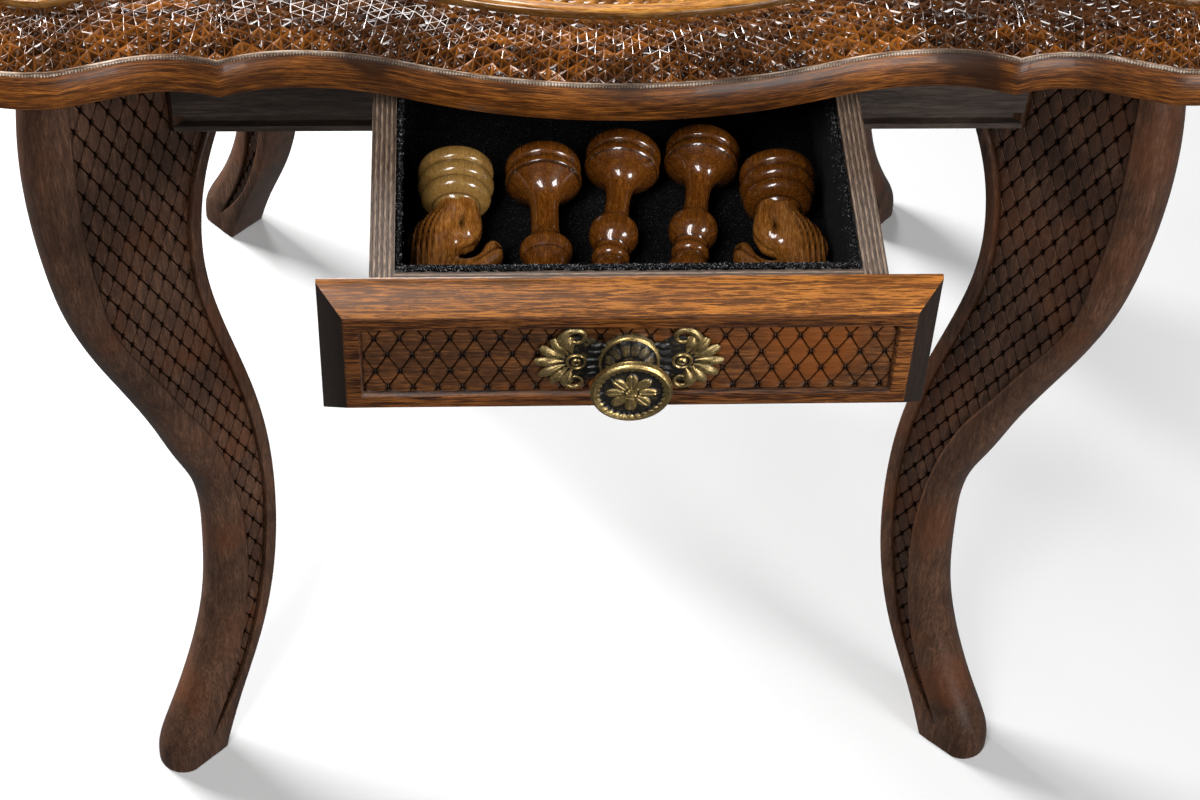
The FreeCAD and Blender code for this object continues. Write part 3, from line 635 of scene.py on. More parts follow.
def crown(inset):
    """Height of the carved border's surface."""
    return float(np.interp(inset, CROWN_INSETS, CROWN_HEIGHTS))


def ring_rows(profile):
    """Points and grain coordinates of rows round the outline, from (inset, height) pairs."""
    points = []
    grain = []
    for inset, z in profile:
        for column in range(COLUMNS):
            points.append((*plan_at(column, inset), z))
            grain.append((grain_along(column), inset, z))
    return points, grain


NODE_SLIP = 0.12
NODE_DRIFT = 0.6
PIT_AREA = 14.0
PIT_LEAN = 0.35
BAND_PROFILE = [(0.9, BAND_TOP_Z), (0.0, BAND_TOP_Z - 0.9), (0.0, UNDERSIDE_Z + 1.5), (1.2, UNDERSIDE_Z)]
BAND_SLOT, CARVED_SLOT, CORD_SLOT = 0, 1, 2
BEADS = 1960
BEAD_SECTION = np.array([(0.1, 757.5), (0.0, 758.3), (0.5, 759.1), (1.2, 759.3), (1.6, 758.5)])
# painted shade (cavity) at the three corners of a pit's lip, at those of its wall and at its bottom
PIT_SHADES = [0.08] * 3 + [0.5] * 3 + [1.0]


def carving_insets(column):
    """Insets of the lattice nodes on a column; alternate columns are staggered."""
    if column % 2 == 0:
        return [CARVING_START + CARVING_PITCH * k for k in range(8)]
    inner = [CARVING_START + CARVING_PITCH * (k + 0.5) for k in range(7)]
    return [CARVING_START] + inner + [BORDER_INSET]


def carving_nodes(shape):
    """Adds the lattice nodes and returns, per column, their (number, inset)."""
    columns = []
    for column in range(COLUMNS):
        row = []
        for inset in carving_insets(column):
            edge = inset in (CARVING_START, BORDER_INSET)
            slip = 0.0 if edge else RANDOM.uniform(-NODE_SLIP, NODE_SLIP)
            drift = 0.0 if edge else RANDOM.uniform(-NODE_DRIFT, NODE_DRIFT)
            place = (*plan_at(column + slip, inset + drift), crown(inset + drift))
            row.append((len(shape.points), inset))
            shape.add([place], [], 0.0, grain=[(grain_along(column), inset, place[2])])
        columns.append(row)
    return columns


def carve_pit(shape, corners):
    """One triangular pit: a flat rim along its edges and a hollow scooped down to a point."""
    outer = np.array([shape.points[i] for i in corners])
    grain = np.array([shape.grain[i] for i in corners])
    centre = outer.mean(0)
    normal = np.cross(outer[1] - outer[0], outer[2] - outer[0])
    area = np.linalg.norm(normal) / 2
    normal /= max(2 * area, 1e-9)
    if normal[2] < 0:
        normal = -normal
    depth = PIT_DEPTH * min(1.0, area / PIT_AREA) * RANDOM.uniform(0.75, 1.15)
    lean = np.array((RANDOM.uniform(-PIT_LEAN, PIT_LEAN), RANDOM.uniform(-PIT_LEAN, PIT_LEAN), 0.0))
    lip = centre + (outer - centre) * RANDOM.uniform(0.84, 0.92) - normal * RANDOM.uniform(0.0, 0.14)
    wall = centre + lean * 0.5 + (outer - centre) * 0.46 - normal * depth * 0.8
    bottom = centre + lean - normal * depth
    base = len(shape.points)
    shape.add([*lip, *wall, bottom], [], PIT_SHADES, grain=[grain.mean(0)] * len(PIT_SHADES))
    faces = []
    for k in range(3):
        after = (k + 1) % 3
        faces.append((corners[k], corners[after], base + after, base + k))
        faces.append((base + k, base + after, base + 3 + after, base + 3 + k))
        faces.append((base + 3 + k, base + 3 + after, base + 6))
    shape.join(faces, CARVED_SLOT)


def carve_border(shape):
    """Chip-carved border: a triangular lattice of pits between the rim and the moulding."""
    columns = carving_nodes(shape)
    for column in range(COLUMNS):
        left = columns[column]
        right = columns[(column + 1) % COLUMNS]
        i = j = 0
        while i < len(left) - 1 or j < len(right) - 1:
            step_left = j == len(right) - 1 or (i < len(left) - 1 and left[i + 1][1] <= right[j + 1][1])
            if step_left:
                corners = (left[i][0], right[j][0], left[i + 1][0])
                i += 1
            else:
                corners = (left[i][0], right[j][0], right[j + 1][0])
                j += 1
            carve_pit(shape, corners)
    return columns


def make_top_mesh():
    """Table top: plain band, carved crown, flat field and the pocket for the board."""
    shape = Shape()
    columns = carve_border(shape)
    rim = [row[0][0] for row in columns]
    inner = [row[-1][0] for row in columns]
    points, grain = ring_rows(BAND_PROFILE)
    base = len(shape.points)
    # The band's top row has full cavity: painted shade along the strip under the bead cord.
    shape.add(points, grid_faces(len(BAND_PROFILE), COLUMNS, close_columns=True),
              np.repeat((1.0, 0.0, 0.0, 0.0), COLUMNS), BAND_SLOT, grain)
    below = range(base + (len(BAND_PROFILE) - 1) * COLUMNS, base + len(BAND_PROFILE) * COLUMNS)
    shape.join([tuple(reversed(below))], BAND_SLOT)
    for a in range(COLUMNS):
        b = (a + 1) % COLUMNS
        shape.join([(rim[a], rim[b], base + b, base + a)], CORD_SLOT)
    close_pocket(shape, inner)
    bead_cord(shape)
    return shape.mesh("table_top_carved", [BAND_WOOD, CARVED_WOOD, CORD_WOOD], 46.0)


def square_point(x, y, half):
    """Point where the ray through a plan point leaves a square."""
    scale = half / max(abs(x), abs(y))
    return x * scale, y * scale


def close_pocket(shape, inner):
    """Flat field from the border to the board's pocket, and the pocket itself."""
    base = len(shape.points)
    points, grain = ring_rows([(BORDER_INSET + 3, SURFACE_Z)])
    edge = [square_point(*BORDER_LINE[c], POCKET_HALF) for c in range(COLUMNS)]
    for corner in ((1, 1), (1, -1), (-1, 1), (-1, -1)):
        target = np.array(corner) * POCKET_HALF
        nearest = min(range(COLUMNS), key=lambda c: np.linalg.norm(np.array(edge[c]) - target))
        edge[nearest] = tuple(target)
    for z in (SURFACE_Z, POCKET_FLOOR_Z):
        points += [(x, y, z) for x, y in edge]
        grain += [(x, y, z) for x, y in edge]
    shape.add(points, grid_faces(3, COLUMNS, close_columns=True), 0.0, BAND_SLOT, grain)
    shape.join([tuple(range(base + 2 * COLUMNS, base + 3 * COLUMNS))], BAND_SLOT)
    for a in range(COLUMNS):
        b = (a + 1) % COLUMNS
        shape.join([(inner[a], base + a, base + b, inner[b])], BAND_SLOT)


def bead_cord(shape):
    """Row of small uneven beads along the top of the band, with painted shade in the gaps between them."""
    middle = BEAD_SECTION.mean(0)
    points = []
    grain = []
    shade = []
    for step in range(2 * BEADS):
        column = step * COLUMNS / (2 * BEADS)
        gap = step % 2
        pinch = RANDOM.uniform(0.3, 0.6) if gap else RANDOM.uniform(0.7, 1.15)
        for inset, z in middle + (BEAD_SECTION - middle) * pinch:
            points.append((*plan_at(column, max(0.0, inset)), z))
            grain.append((grain_along(column), inset, z))
            shade.append(0.9 if gap else RANDOM.uniform(0.0, 0.5))
    shape.add(points, grid_faces(2 * BEADS, len(BEAD_SECTION), True, True), shade, CORD_SLOT, grain)


# inset, height and cavity, the painted shade in the moulding's groove and at its foot
MOULDING_PROFILE = ((44.0, 766.2, 0.9), (44.0, 770.4, 0.75), (44.5, 771.2, 0.2), (46.0, 771.7, 0.0),
                    (49.5, 771.9, 0.0), (50.8, 771.5, 0.1), (51.3, 770.0, 0.9), (52.0, 768.6, 1.0),
                    (58.6, 768.6, 1.0), (59.2, 770.0, 0.9), (60.0, 771.3, 0.2), (62.0, 771.8, 0.0),
                    (66.0, 771.6, 0.0), (67.5, 771.0, 0.0), (68.0, 769.6, 0.3), (68.0, 766.0, 0.6),
                    (60.0, 765.9, 0.0), (48.0, 765.9, 0.0))
ROPE_INSET = 55.3
ROPE_Z = 768.6
ROPE_RADIUS = 3.3
ROPE_SIDES = 12
ROPE_TURN = 8.0
ROPE_STEPS_PER_TURN = 8


def make_moulding_mesh():
    """Raised moulding with a rope laid in its groove."""
    shape = Shape()
    points, grain = ring_rows([(inset, z) for inset, z, _ in MOULDING_PROFILE])
    shape.add(points, grid_faces(len(MOULDING_PROFILE), COLUMNS, True, True),
              np.repeat([shade for _, _, shade in MOULDING_PROFILE], COLUMNS), 0, grain)
    lay_rope(shape)
    return shape.mesh("rope_moulding_carved", [MOULDING_WOOD], 40.0)


def lay_rope(shape):
    """Two-strand rope in the moulding's groove, with painted shade between the strands."""
    middle = [plan_at(c, ROPE_INSET) for c in range(COLUMNS)]
    length = float(np.linalg.norm(np.roll(middle, -1, 0) - middle, axis=1).sum())
    steps = round(length / ROPE_TURN) * ROPE_STEPS_PER_TURN
    points = []
    grain = []
    shade = []
    for step in range(steps):
        column = step * COLUMNS / steps
        for angle in round_angles(ROPE_SIDES):
            strand = abs(math.sin(math.pi * step / ROPE_STEPS_PER_TURN + angle)) ** 0.7
            reach = ROPE_RADIUS * (0.66 + 0.34 * strand)
            points.append((*plan_at(column, ROPE_INSET + reach * math.cos(angle)),
                           ROPE_Z + reach * math.sin(angle)))
            grain.append((grain_along(column), ROPE_INSET, ROPE_Z))
            shade.append(max(0.0, 1.0 - 1.6 * strand))
    shape.add(points, grid_faces(steps, ROPE_SIDES, True, True), shade, 0, grain)


put("table_top_carved", make_top_mesh(), "table", ["table_top"])
put("rope_moulding_carved", make_moulding_mesh(), "table", ["rope_moulding"])


# ---- Diamond lattice ----

GROOVE_DEPTH = 1.3
LATTICE_BACK = -2.6
NODE_DEPTH = 0.6
NODE_BEAD = -0.1
PILLOW = 0.45
LEG_GROOVE = 0.055
FRONT_GROOVE = 0.056
LATTICE_REACH = 80


def cell_relief(across, along, groove, beaded):
    """Height and cavity shade inside one diamond cell, from two shares of its sides."""
    near = min(across, 1 - across, along, 1 - along)
    corner = max(min(across, 1 - across), min(along, 1 - along))
    height = PILLOW * math.sin(math.pi * across) * math.sin(math.pi * along)
    shade = 0.0
    if near < groove:
        height -= GROOVE_DEPTH * (1 - near / groove)
        shade = 1.0
    if corner < groove + 0.01:
        height -= NODE_DEPTH
        shade = 1.0
    if beaded and corner == 0.0:
        height = NODE_BEAD
        shade = 0.0
    return height, shade


class Lattice:
    """Slab of pillowed diamonds between V-grooves, with a cell wherever one touches the field.

    inside(x, z) tells what lies in the field, and place(x, z, height) turns a lattice point into
    a point of the shape.
    """

    def __init__(self, shape, pitch, node, inside, place, groove, beaded=False):
        self.shape = shape
        self.pitch = pitch
        self.node = node
        self.place = place
        self.groove = groove
        self.beaded = beaded
        self.shares = (0.0, groove, 0.24, 0.5, 0.76, 1 - groove, 1.0)
        self.steps = len(self.shares) - 1
        self.numbers = {}
        span = range(-LATTICE_REACH, LATTICE_REACH)
        self.cells = {(p, q) for p in span for q in span if self.touches(p, q, inside)}

    def flat(self, i, j):
        """Place of a lattice point in the plane of the field."""
        p = i // self.steps + self.shares[i % self.steps]
        q = j // self.steps + self.shares[j % self.steps]
        return self.node[0] + (p + q) / 2 * self.pitch[0], self.node[1] + (p - q) / 2 * self.pitch[1]

    def touches(self, p, q, inside):
        """True where a corner, the middle or the middle of a side of a cell lies in the field."""
        tested = (0, self.steps // 2, self.steps)
        return any(inside(*self.flat(p * self.steps + i, q * self.steps + j)) for i in tested for j in tested)

    def number(self, at, back=False):
        """Number of a lattice point's front or back, which is added when first asked for."""
        if (at, back) not in self.numbers:
            share_i, share_j = [self.shares[k % self.steps] for k in at]
            height, shade = cell_relief(share_i, share_j, self.groove, self.beaded)
            if back:
                height, shade = LATTICE_BACK, 1.0
            self.numbers[at, back] = len(self.shape.points)
            self.shape.add([self.place(*self.flat(*at), height)], [], shade)
        return self.numbers[at, back]

    def rim(self, p, q):
        """Lattice points in order round a cell, side by side."""
        size = self.steps
        i0, j0 = p * size, q * size
        return ([(i0 + k, j0) for k in range(size)] + [(i0 + size, j0 + k) for k in range(size)]
                + [(i0 + size - k, j0 + size) for k in range(size)]
                + [(i0, j0 + size - k) for k in range(size)])

    def walls(self, p, q, rim):
        """Faces from front to back along the sides of a cell that has no neighbour there."""
        faces = []
        for side, neighbour in enumerate(((p, q - 1), (p + 1, q), (p, q + 1), (p - 1, q))):
            if neighbour in self.cells:
                continue
            for k in range(side * self.steps, (side + 1) * self.steps):
                a, b = rim[k], rim[(k + 1) % len(rim)]
                faces.append((self.number(a), self.number(b), self.number(b, True), self.number(a, True)))
        return faces

    def build(self, slot):
        """Adds every cell to the shape."""
        for p, q in sorted(self.cells):
            corners = [(p * self.steps + i, q * self.steps + j)
                       for i in range(self.steps) for j in range(self.steps)]
            faces = [tuple(self.number(at) for at in ((i, j), (i, j + 1), (i + 1, j + 1), (i + 1, j)))
                     for i, j in corners]
            rim = self.rim(p, q)
            faces.append(tuple(self.number(at, True) for at in rim))
            self.shape.join(faces + self.walls(p, q, rim), slot)


def soft_limit(value, low, high, room):
    """Value pressed smoothly back towards a range, by at most some room outside it."""
    if value < low:
        return low - room * (1 - math.exp(-(low - value) / room))
    if value > high:
        return high + room * (1 - math.exp(-(value - high) / room))
    return value


# ---- Legs ----

def height_curve(points):
    """Function that gives a profile's distance at a height."""
    line = spline(points, 1.0)
    order = np.argsort(line[:, 1])
    heights = line[order, 1]
    reach = line[order, 0]
    return lambda z: float(np.interp(z, heights, reach))


FIELD_DEPTH = 6.5
EASED_EDGE = 1.6
NOSE_DEPTH = 17.0
NOSE_STEPS = 8
SOLE_SHRINK = 1.5
LEG_IN = height_curve(LEG_INNER)
LEG_OUT = height_curve(LEG_OUTER)
FIELD_IN = height_curve(FIELD_INNER)
FIELD_OUT = height_curve(FIELD_OUTER)


def field_in(z):
    """Inner edge of the carved field, with its shoulder under the apron."""
    top = FIELD_INNER[-1]
    if z <= top[1]:
        return FIELD_IN(z)
    if z >= SHOULDER[1]:
        return SHOULDER[0]
    return top[0] + (SHOULDER[0] - top[0]) * (z - top[1]) / (SHOULDER[1] - top[1])


def leg_section(z):
    """Half section of the leg at a height as (distance, half thickness, cavity), inner edge first; the cavity
    darkens the sunk field with painted shade.
    """
    inner = LEG_IN(z)
    outer = LEG_OUT(z)
    near = field_in(z)
    far = FIELD_OUT(z)
    sunk = min(1.0, max(0.0, (far - near) / 5.0)) if z > FIELD_TOE_Z else 0.0
    floor = LEG_HALF - sunk * FIELD_DEPTH
    lip = 0.7 * sunk
    section = [(inner, 0.0, 0.0), (inner, LEG_HALF - EASED_EDGE, 0.0), (inner + 0.5, LEG_HALF - 0.5, 0.0),
               (inner + EASED_EDGE, LEG_HALF, 0.0), (near - 1.2, LEG_HALF, 0.0),
               (near, LEG_HALF - lip, 0.1 * sunk),
               (near + 0.4 * sunk, floor, sunk), (far - 0.4 * sunk, floor, sunk),
               (far, LEG_HALF - lip - 0.5, 0.5 * sunk), (far + 1.5, LEG_HALF - 0.25, 0.0)]
    slope = (LEG_OUT(z + 4) - LEG_OUT(z - 4)) / 8
    depth = min(NOSE_DEPTH * math.sqrt(1 + slope ** 2), outer - far - 2.0)
    for k in range(1, NOSE_STEPS + 1):
        angle = math.pi / 2 * k / NOSE_STEPS
        section.append((outer - depth + depth * math.sin(angle), (LEG_HALF - 0.25) * math.cos(angle), 0.0))
    return section


def leg_levels():
    """Heights of the leg's sections, closer together at the toe and the shoulder."""
    even = list(np.arange(4.0, 735.0, 5.0))
    extra = [0.0, 1.2, 20.0, 22.0, 23.5, 26.0, 596.0, 597.5, 600.0, 601.5, 603.0, 605.0, 735.0]
    return sorted(set(even + extra))


def make_leg_mesh():
    """S-shaped plank leg along +X with carved fields on both sides."""
    shape = Shape()
    levels = leg_levels()
    points = []
    shade = []
    for z in levels:
        half = leg_section(z)
        shrink = SOLE_SHRINK if z == 0.0 else 0.0
        middle = (half[0][0] + half[-1][0]) / 2
        ring = half + [(r, -y, c) for r, y, c in reversed(half[1:-1])]
        for r, y, c in ring:
            points.append((middle + (r - middle) * (1 - shrink / 24), y * (1 - shrink / LEG_HALF), z))
            shade.append(c)
    shape.add(points, closed_grid(len(levels), len(points) // len(levels)), shade)
    for side in (1, -1):
        place = partial(leg_lattice_point, side)
        Lattice(shape, LEG_LATTICE, LEG_LATTICE_NODE, leg_field_holds, place, LEG_GROOVE).build(0)
    return shape.mesh("leg_carved", [LEG_WOOD], 30.0)


def leg_field_holds(r, z):
    """True where a point lies in the leg's carved field."""
    return FIELD_TOE_Z < z < UNDERSIDE_Z and field_in(z) < r < FIELD_OUT(z)


def leg_lattice_point(side, r, z, height):
    """Place of a lattice point on one side of the leg; what lies beyond the field sinks in."""
    z = soft_limit(z, FIELD_TOE_Z - 2, UNDERSIDE_Z - 4, 3.0)
    level = max(z, FIELD_TOE_Z)
    low = field_in(level)
    high = FIELD_OUT(level)
    beyond = max(0.0, low - r, r - high)
    r = soft_limit(r, low, max(high, low + 0.1), 5.0)
    return r, side * (LEG_FIELD_Y + height - min(1.6, 0.5 * beyond)), z


LEG_MESH = make_leg_mesh()
LEG_TURNS = {"front_left": 225, "front_right": 315, "rear_right": 45, "rear_left": 135}
for corner, angle in LEG_TURNS.items():
    put(corner + "_leg_carved", LEG_MESH, "table", [corner + "_leg"], turn_z(angle))


# ---- Drawer fronts, about the pull's axis with Y to the back ----

# slots of the front's materials, in the order of its list of woods
FRONT_END_SLOT, FRONT_FIELD_SLOT, CHAMFER_SLOT = 1, 2, 3


def rectangle(half, grow, y):
    """Corners of an upright rectangle, from its half sizes and an amount added to both."""
    x, z = half[0] + grow, half[1] + grow
    return [(-x, y, -z), (x, y, -z), (x, y, z), (-x, y, z)]


def make_front_mesh():
    """Chamfered board with a carved field sunk in its face."""
    shape = Shape()
    face_half = (FRONT_HALF[0] - FRONT_CHAMFER, FRONT_HALF[1] - FRONT_CHAMFER)
    chamfer_y = FRONT_CHAMFER - FRONT_THICKNESS
    rows = [(FRONT_HALF, 0.0, 0.0), (FRONT_HALF, 0.0, chamfer_y + 0.5), (FRONT_HALF, -0.35, chamfer_y - 0.3),
            (face_half, 0.4, 0.5 - FRONT_THICKNESS), (face_half, -0.4, -FRONT_THICKNESS),
            (FIELD_HALF, 0.3, -FRONT_THICKNESS), (FIELD_HALF, -0.3, 0.5 - FRONT_THICKNESS),
            (FIELD_HALF, -1.4, -FIELD_Y - 0.4), (FIELD_HALF, -1.6, 1.6 - FIELD_Y)]
    # Painted shade (cavity) down the walls of the sunk field.
    shades = np.repeat([0, 0, 0, 0, 0, 0, 0.15, 0.75, 1.0], 4)
    shape.add([p for row in rows for p in rectangle(*row)], closed_grid(len(rows), 4), shades)
    for row in (0, 1, 2):
        shape.slots[row * 4:row * 4 + 4] = [CHAMFER_SLOT, FRONT_END_SLOT] * 2
    Lattice(shape, FRONT_LATTICE, FRONT_LATTICE_NODE, front_field_holds, front_lattice_point,
            FRONT_GROOVE, beaded=True).build(FRONT_FIELD_SLOT)
    return shape.mesh("drawer_front_carved", [FRONT_WOOD, FRONT_END_WOOD, FIELD_WOOD, CHAMFER_WOOD], 30.0)


def front_field_holds(x, z):
    """True where a point lies in the drawer front's carved field."""
    return abs(x) < FIELD_HALF[0] - 1.4 and abs(z) < FIELD_HALF[1] - 1.4


def front_lattice_point(x, z, height):
    """Place of a lattice point on the drawer front; what lies beyond the field sinks in."""
    half_x = FIELD_HALF[0] - 1.2
    half_z = FIELD_HALF[1] - 1.2
    beyond = max(0.0, abs(x) - half_x, abs(z) - half_z)
    x = soft_limit(x, -half_x, half_x, 4.0)
    z = soft_limit(z, -half_z, half_z, 4.0)
    return x, -FIELD_Y - height + min(1.0, 0.5 * beyond), z


FRONT_BACK_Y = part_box("front_drawer_front")[1].y / MM
REAR_BACK_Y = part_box("rear_drawer_front")[0].y / MM
DRAWERS = {"front": shift(0, FRONT_BACK_Y, PULL_Z),
           "rear": shift(0, REAR_BACK_Y, PULL_Z) @ turn_z(180)}

FRONT_MESH = make_front_mesh()
for drawer, matrix in DRAWERS.items():
    put(drawer + "_drawer_front_carved", FRONT_MESH, drawer + "_drawer",
        [drawer + "_drawer_front"], matrix)


# ---- Felt linings ----

LINT_LENGTHS = (0.5, 1.5)
LINT_COUNT = 3200
FOLD_WIDTH = 2.6
FOLD_HEIGHT = 0.7
FOLD_STEPS = 120
TRAY_STEPS = 64
TRAY_WOBBLE = 0.22
LINT_SLOT = 1


def tray_ring(low, high, inset, z):
    """Points round a rectangle inset from a tray's outside, at a height."""
    x0, y0 = low[0] + inset, low[1] + inset
    x1, y1 = high[0] - inset, high[1] - inset
    corners = [(x0, y0), (x1, y0), (x1, y1), (x0, y1)]
    ring = []
    for k in range(4):
        a, b = corners[k], corners[(k + 1) % 4]
        ring += [(a[0] + (b[0] - a[0]) * i / TRAY_STEPS, a[1] + (b[1] - a[1]) * i / TRAY_STEPS, z)
                 for i in range(TRAY_STEPS)]
    return ring


def fold_felt(shape, low, high, outward, wood_top):
    """Strip of felt folded over the top of the tray's inner front."""
    edge = low[1] if outward < 0 else high[1]
    tuck = high[2] - wood_top - 0.8
    profile = [(-1.9, tuck), (-1.9, FOLD_HEIGHT - 0.2), (0.0, FOLD_HEIGHT), (FOLD_WIDTH - 0.6, FOLD_HEIGHT),
               (FOLD_WIDTH, 0.1), (FOLD_WIDTH - 0.3, 0.05), (-0.1, 0.05), (-0.1, tuck)]
    points = []
    for x in np.linspace(low[0] + 0.3, high[0] - 0.3, FOLD_STEPS):
        fray = RANDOM.uniform(-0.35, 0.35)
        for reach, rise in profile:
            loose = fray if reach > FOLD_WIDTH / 2 else 0.0
            points.append((x, edge + outward * (reach + loose), wood_top + rise))
    faces = closed_grid(FOLD_STEPS, len(profile))
    if outward > 0:
        faces = [tuple(reversed(face)) for face in faces]
    shape.add(points, faces)
    for _ in range(LINT_COUNT // 3):
        x = RANDOM.uniform(low[0] + 0.4, high[0] - 0.4)
        y = edge + outward * RANDOM.uniform(-1.5, FOLD_WIDTH - 0.2)
        add_fibre(shape, np.array((x, y, wood_top + FOLD_HEIGHT - 0.1)), wood_top + 1.4)


def tray_rows(low, high, top):
    """Inset and height of each ring of the tray, from its outside over its edge to the middle."""
    floor = low[2] + 2.0
    rows = [(0.0, low[2]), (0.0, top - 1.2), (0.15, top - 0.3), (0.6, top + 0.2), (1.3, top + 0.2),
            (1.9, top - 0.3), (2.1, top - 1.2)]
    rows += [(2.05, top - 1.2 - (top - 2.4 - floor) * k / 9) for k in range(1, 10)]
    rows += [(2.6, floor + 0.5), (3.4, floor)]
    half = min(high[0] - low[0], high[1] - low[1]) / 2
    return rows + [(3.4 + (half - 8) * k / 14, floor) for k in range(1, 15)]


def make_lining_mesh(name, low, high, outward, wood_top):
    """Soft tray of needled felt with an uneven, hairy edge."""
    shape = Shape()
    top = high[2] - 0.4
    rows = tray_rows(low, high, top)
    points = []
    for number, (inset, z) in enumerate(rows):
        wobble = 0.0 if number < 2 else TRAY_WOBBLE
        for point in tray_ring(low, high, inset, z):
            points.append([value + RANDOM.uniform(-wobble, wobble) for value in point])
    shape.add(points, closed_grid(len(rows), 4 * TRAY_STEPS))
    fold_felt(shape, low, high, outward, wood_top)
    for _ in range(LINT_COUNT):
        add_lint(shape, low, high, top)
    return shape.mesh(name, [FELT, LINT], 80.0)


def add_lint(shape, low, high, top):
    """One short fibre standing off the felt's edge or the upper part of its walls."""
    inset = RANDOM.uniform(0.3, 2.1)
    drop = RANDOM.uniform(0.0, 18.0) if RANDOM.random() < 0.4 else 0.0
    if drop:
        inset = 2.0
    ring = tray_ring(low, high, inset, top - drop)
    root = np.array(ring[RANDOM.randrange(len(ring))])
    root[:2] += (RANDOM.uniform(-2, 2), 0.0) if RANDOM.random() < 0.5 else (0.0, RANDOM.uniform(-2, 2))
    root = np.clip(root, np.array(low) + (0.2, 0.2, 0), np.array(high) - (0.2, 0.2, 0))
    add_fibre(shape, root, high[2] + 0.9)


def add_fibre(shape, root, ceiling):
    """Short tapered fibre standing on a point."""
    lean = np.array([RANDOM.gauss(0, 0.6), RANDOM.gauss(0, 0.6), RANDOM.uniform(0.1, 0.7)])
    lean /= np.linalg.norm(lean)
    tip = root + lean * RANDOM.uniform(*LINT_LENGTHS)
    tip[2] = min(tip[2], ceiling)
    side = np.cross(lean, (0.3, 0.5, 0.8))
    side *= 0.1 / np.linalg.norm(side)
    other = np.cross(lean, side)
    foot = root - lean * 0.3
    base = [foot + side, foot - side * 0.5 + other * 0.87, foot - side * 0.5 - other * 0.87]
    shape.add(base + [tip], [(0, 2, 1), (0, 1, 3), (1, 2, 3), (2, 0, 3)], 0.0, LINT_SLOT)


for drawer in DRAWERS:
    low, high = [np.array(corner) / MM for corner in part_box(drawer + "_drawer_lining")]
    outward = -1 if drawer == "front" else 1
    wood_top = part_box(drawer + "_drawer_inner_front")[1].z / MM
    lining = make_lining_mesh(drawer + "_lining_felt", low, high, outward, wood_top)
    put(lining.name, lining, drawer + "_drawer", [drawer + "_drawer_lining"])


# ---- Brass pulls, about the pull's axis with Y to the back ----

SHELL_X = 26.6
PLATE_BACK_Y = -FIELD_Y
PETALS = ((0, 22.6), (24, 22.4), (-24, 22.4), (47, 21.6), (-47, 21.6), (70, 19.5), (-70, 19.5))
SCROLL = ((-6.4, 4.6), (-8.2, 9.5), (-8.0, 15.2), (-5.6, 19.6), (-1.6, 21.9), (2.2, 21.0), (3.9, 17.6),
          (2.6, 14.4), (-0.4, 13.4), (-2.6, 15.0), (-1.8, 17.0))
SCROLL_RADII = (0.7, 1.5, 2.0, 2.2, 2.1, 1.8, 1.5, 1.2, 1.0, 0.9, 0.7)
BAR_SIDES = 10
PETAL_STEPS = 12
HUB_SIDES = 96
ARM_STEPS = 8
# bosses as radius, Y from their seat and cavity
SHELL_ROWS = ((16.5, 0.2, 1), (16.5, -0.8, 1), (15.5, -1.3, 1), (8, -1.9, 1), (4, -2.0, 1))
SCREW_SEAT_ROWS = ((5.4, 0, 1), (5.4, -2.6, 0.6), (5.0, -3.1, 0), (4.3, -3.1, 0), (3.7, -2.5, 0.9),
                   (1.0, -2.4, 1))
SCREW_ROWS = ((1.1, 7.5, 0.5), (1.1, 0, 0.9), (2.6, 0, 0.4), (2.5, -0.5, 0.05), (1.9, -1.0, 0),
              (1.3, -1.2, 0.1), (0.9, -0.4, 1))
# share of the hub's size, height and cavity
HUB_ROWS = ((1.0, 0.0, 1), (1.0, 2.4, 0.7), (0.965, 3.4, 0), (0.90, 3.8, 0), (0.86, 3.2, 0.8),
            (0.80, 3.4, 0.95), (0.7, 4.2, 0.85), (0.6, 5.1, 0.85), (0.52, 6.0, 0.9), (0.45, 7.0, 1),
            (0.42, 8.6, 1))
LEAF_ROWS = (5, 6, 7, 8)
# height of each arm above the axis and its lift off the plate
ARMS = ((0.0, 1.6), (5.5, 1.4), (-5.5, 1.4), (10.0, 1.2), (-10.0, 1.2))


def brass_bar(shape, path, radii, flatten):
    """Rounded brass relief: gold in front and dark towards the plate."""
    shade = np.clip(0.15 + 1.3 * np.sin(round_angles(BAR_SIDES)), 0.0, 1.0)
    tube(shape, path, radii, BAR_SIDES, flatten, np.tile(shade, len(path)))


def disc(shape, x, y, rows, sides):
    """Round boss from rows of (radius, y from its seat, cavity), outer row first."""
    points = [(x + radius * math.cos(t), y + rise, radius * math.sin(t))
              for radius, rise, _ in rows for t in round_angles(sides)]
    shape.add(points, closed_grid(len(rows), sides), np.repeat([shade for _, _, shade in rows], sides))


